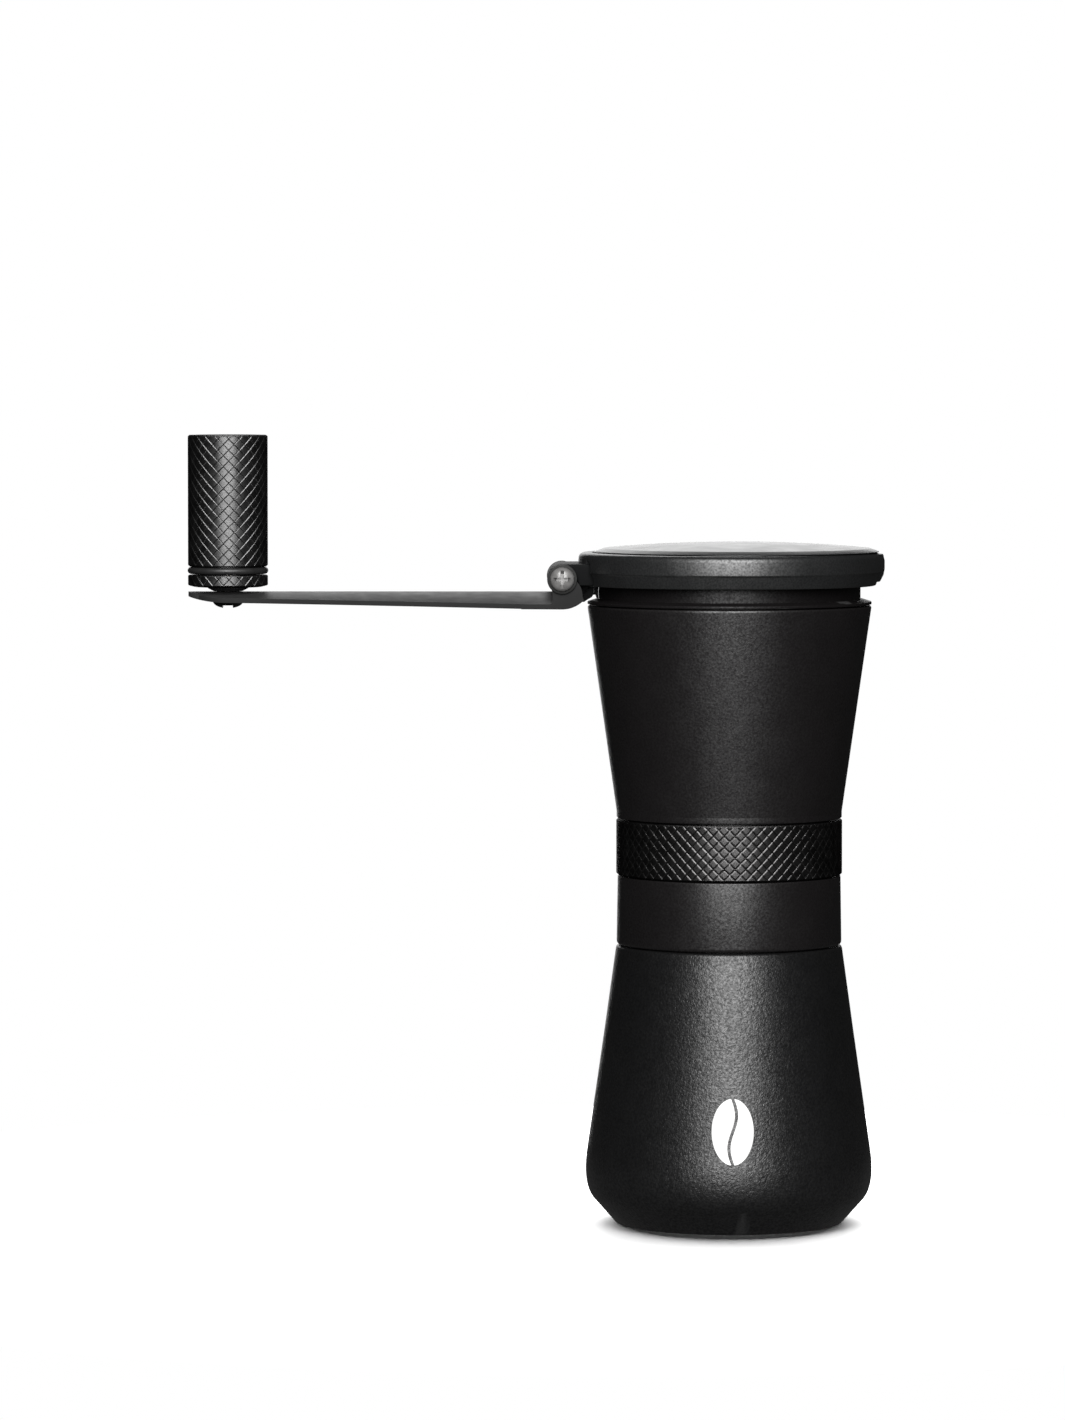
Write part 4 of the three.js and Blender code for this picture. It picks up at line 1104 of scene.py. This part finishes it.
for make in (
    make_cup, make_bean_mark, make_lower_housing, make_upper_housing, make_hopper_ring, make_bridge,
    make_adjust_ring, make_knob, make_knob_foot, make_lid_frame, make_hinge_lug, make_top_plate, make_arm,
    make_hinge_screw, make_hinge_washers, make_nuts, make_knob_screw, make_turned, make_bearings, make_shaft,
    make_socket, make_cone_burr, make_ring_burr, paint_kept_nodes,
):
    make()


# ---- Studio ----

STUDIO = {
    "key": {"x": -0.02, "elevation": 25, "distance": 2.0, "width": 1.42, "height": 1.75, "power": 92},
    "low": {"x": -0.02, "elevation": -20, "distance": 1.6, "width": 1.0, "height": 0.30, "power": 0.4},
    "back": {"x": -0.1, "elevation": 16, "distance": 1.7, "width": 0.8, "height": 1.5, "power": 8},
    "top": {"x": -0.03, "elevation": 66, "distance": 1.6, "width": 1.6, "height": 0.5, "power": 30},
    "floor_seen": 0.9,
    "floor_glow": 0.09,
    "sun": 12,
    "sun_spread": 90,
    "sun_tilt": 42,
    "glossy_fill": 0.02,
}


def make_floor():
    """A pale disc under the grinder, which gives off only a faint glow where the camera doesn't look."""
    mesh = bpy.data.meshes.new("floor")
    shape = bmesh.new()
    bmesh.ops.create_circle(shape, cap_ends=True, segments=128, radius=0.24)
    shape.to_mesh(mesh)
    shape.free()
    floor = in_scene("floor", mesh)
    floor.location = (CAMERA["x"] / 2, 0, -0.00005)
    material = bpy.data.materials.new("pale_floor")
    material.use_nodes = True
    nodes, links = material.node_tree.nodes, material.node_tree.links
    surface = nodes["Principled BSDF"]
    surface.inputs["Base Color"].default_value = (STUDIO["floor_seen"],) * 3 + (1,)
    surface.inputs["Roughness"].default_value = 0.9
    surface.inputs["Specular IOR Level"].default_value = 0.1
    glow = nodes.new("ShaderNodeEmission")
    glow.inputs["Strength"].default_value = STUDIO["floor_glow"]
    path = nodes.new("ShaderNodeLightPath")
    mix = nodes.new("ShaderNodeMixShader")
    links.new(path.outputs["Is Camera Ray"], mix.inputs[0])
    links.new(glow.outputs["Emission"], mix.inputs[1])
    links.new(surface.outputs["BSDF"], mix.inputs[2])
    links.new(mix.outputs["Shader"], nodes["Material Output"].inputs["Surface"])
    mesh.materials.append(material)
    return floor


def make_softbox(name, receivers, x, elevation, distance, width, height, power, side=-1):
    """A soft panel in front of the object (side -1) or behind it (side 1), facing its middle.

    The collection receivers says which objects take its light.
    """
    aim = Vector((x, 0, 0.11))
    rise = math.radians(elevation)
    place = aim + Vector((0, side * distance * math.cos(rise), distance * math.sin(rise)))
    data = bpy.data.lights.new(name, "AREA")
    data.shape = "RECTANGLE"
    data.size = width
    data.size_y = height
    data.energy = power
    light = in_scene(name, data)
    light.location = place
    light.rotation_euler = (aim - place).to_track_quat("-Z", "Y").to_euler()
    light.visible_camera = False
    light.light_linking.receiver_collection = receivers


def make_floor_light(floor):
    """A broad light from above and a little behind, for the floor alone."""
    data = bpy.data.lights.new("overhead", "SUN")
    data.energy = STUDIO["sun"]
    data.angle = math.radians(STUDIO["sun_spread"])
    light = in_scene("overhead", data)
    light.location = (0, 0, 1)
    light.rotation_euler = (-math.radians(STUDIO["sun_tilt"]), 0, 0)
    only = bpy.data.collections.new("lit_by_overhead")
    only.objects.link(floor)
    light.light_linking.receiver_collection = only


def make_world():
    """White where the camera looks, and only a little light of its own."""
    world = bpy.data.worlds.new("studio")
    world.use_nodes = True
    nodes, links = world.node_tree.nodes, world.node_tree.links
    background = nodes["Background"]
    path = nodes.new("ShaderNodeLightPath")
    strength = nodes.new("ShaderNodeMapRange")
    strength.inputs["To Min"].default_value = STUDIO["glossy_fill"]
    strength.inputs["To Max"].default_value = 1.0
    links.new(path.outputs["Is Camera Ray"], strength.inputs["Value"])
    links.new(strength.outputs["Result"], background.inputs["Strength"])
    background.inputs["Color"].default_value = (1, 1, 1, 1)
    scene.world = world


floor = make_floor()
make_floor_light(floor)
all_but_floor = bpy.data.collections.new("unlit_by_softboxes")
all_but_floor.objects.link(floor)
all_but_floor.collection_objects[0].light_linking.link_state = "EXCLUDE"
knurls_only = bpy.data.collections.new("lit_by_top_softbox")
for name in ("knurled_ring", "knob_barrel", "knob_base"):
    knurls_only.objects.link(bpy.data.objects[name])
make_softbox("key_softbox", all_but_floor, **STUDIO["key"])
make_softbox("low_softbox", all_but_floor, **STUDIO["low"])
make_softbox("top_softbox", knurls_only, **STUDIO["top"])
make_softbox("back_softbox", all_but_floor, **STUDIO["back"], side=1)
make_world()
scene.view_settings.view_transform = "Standard"
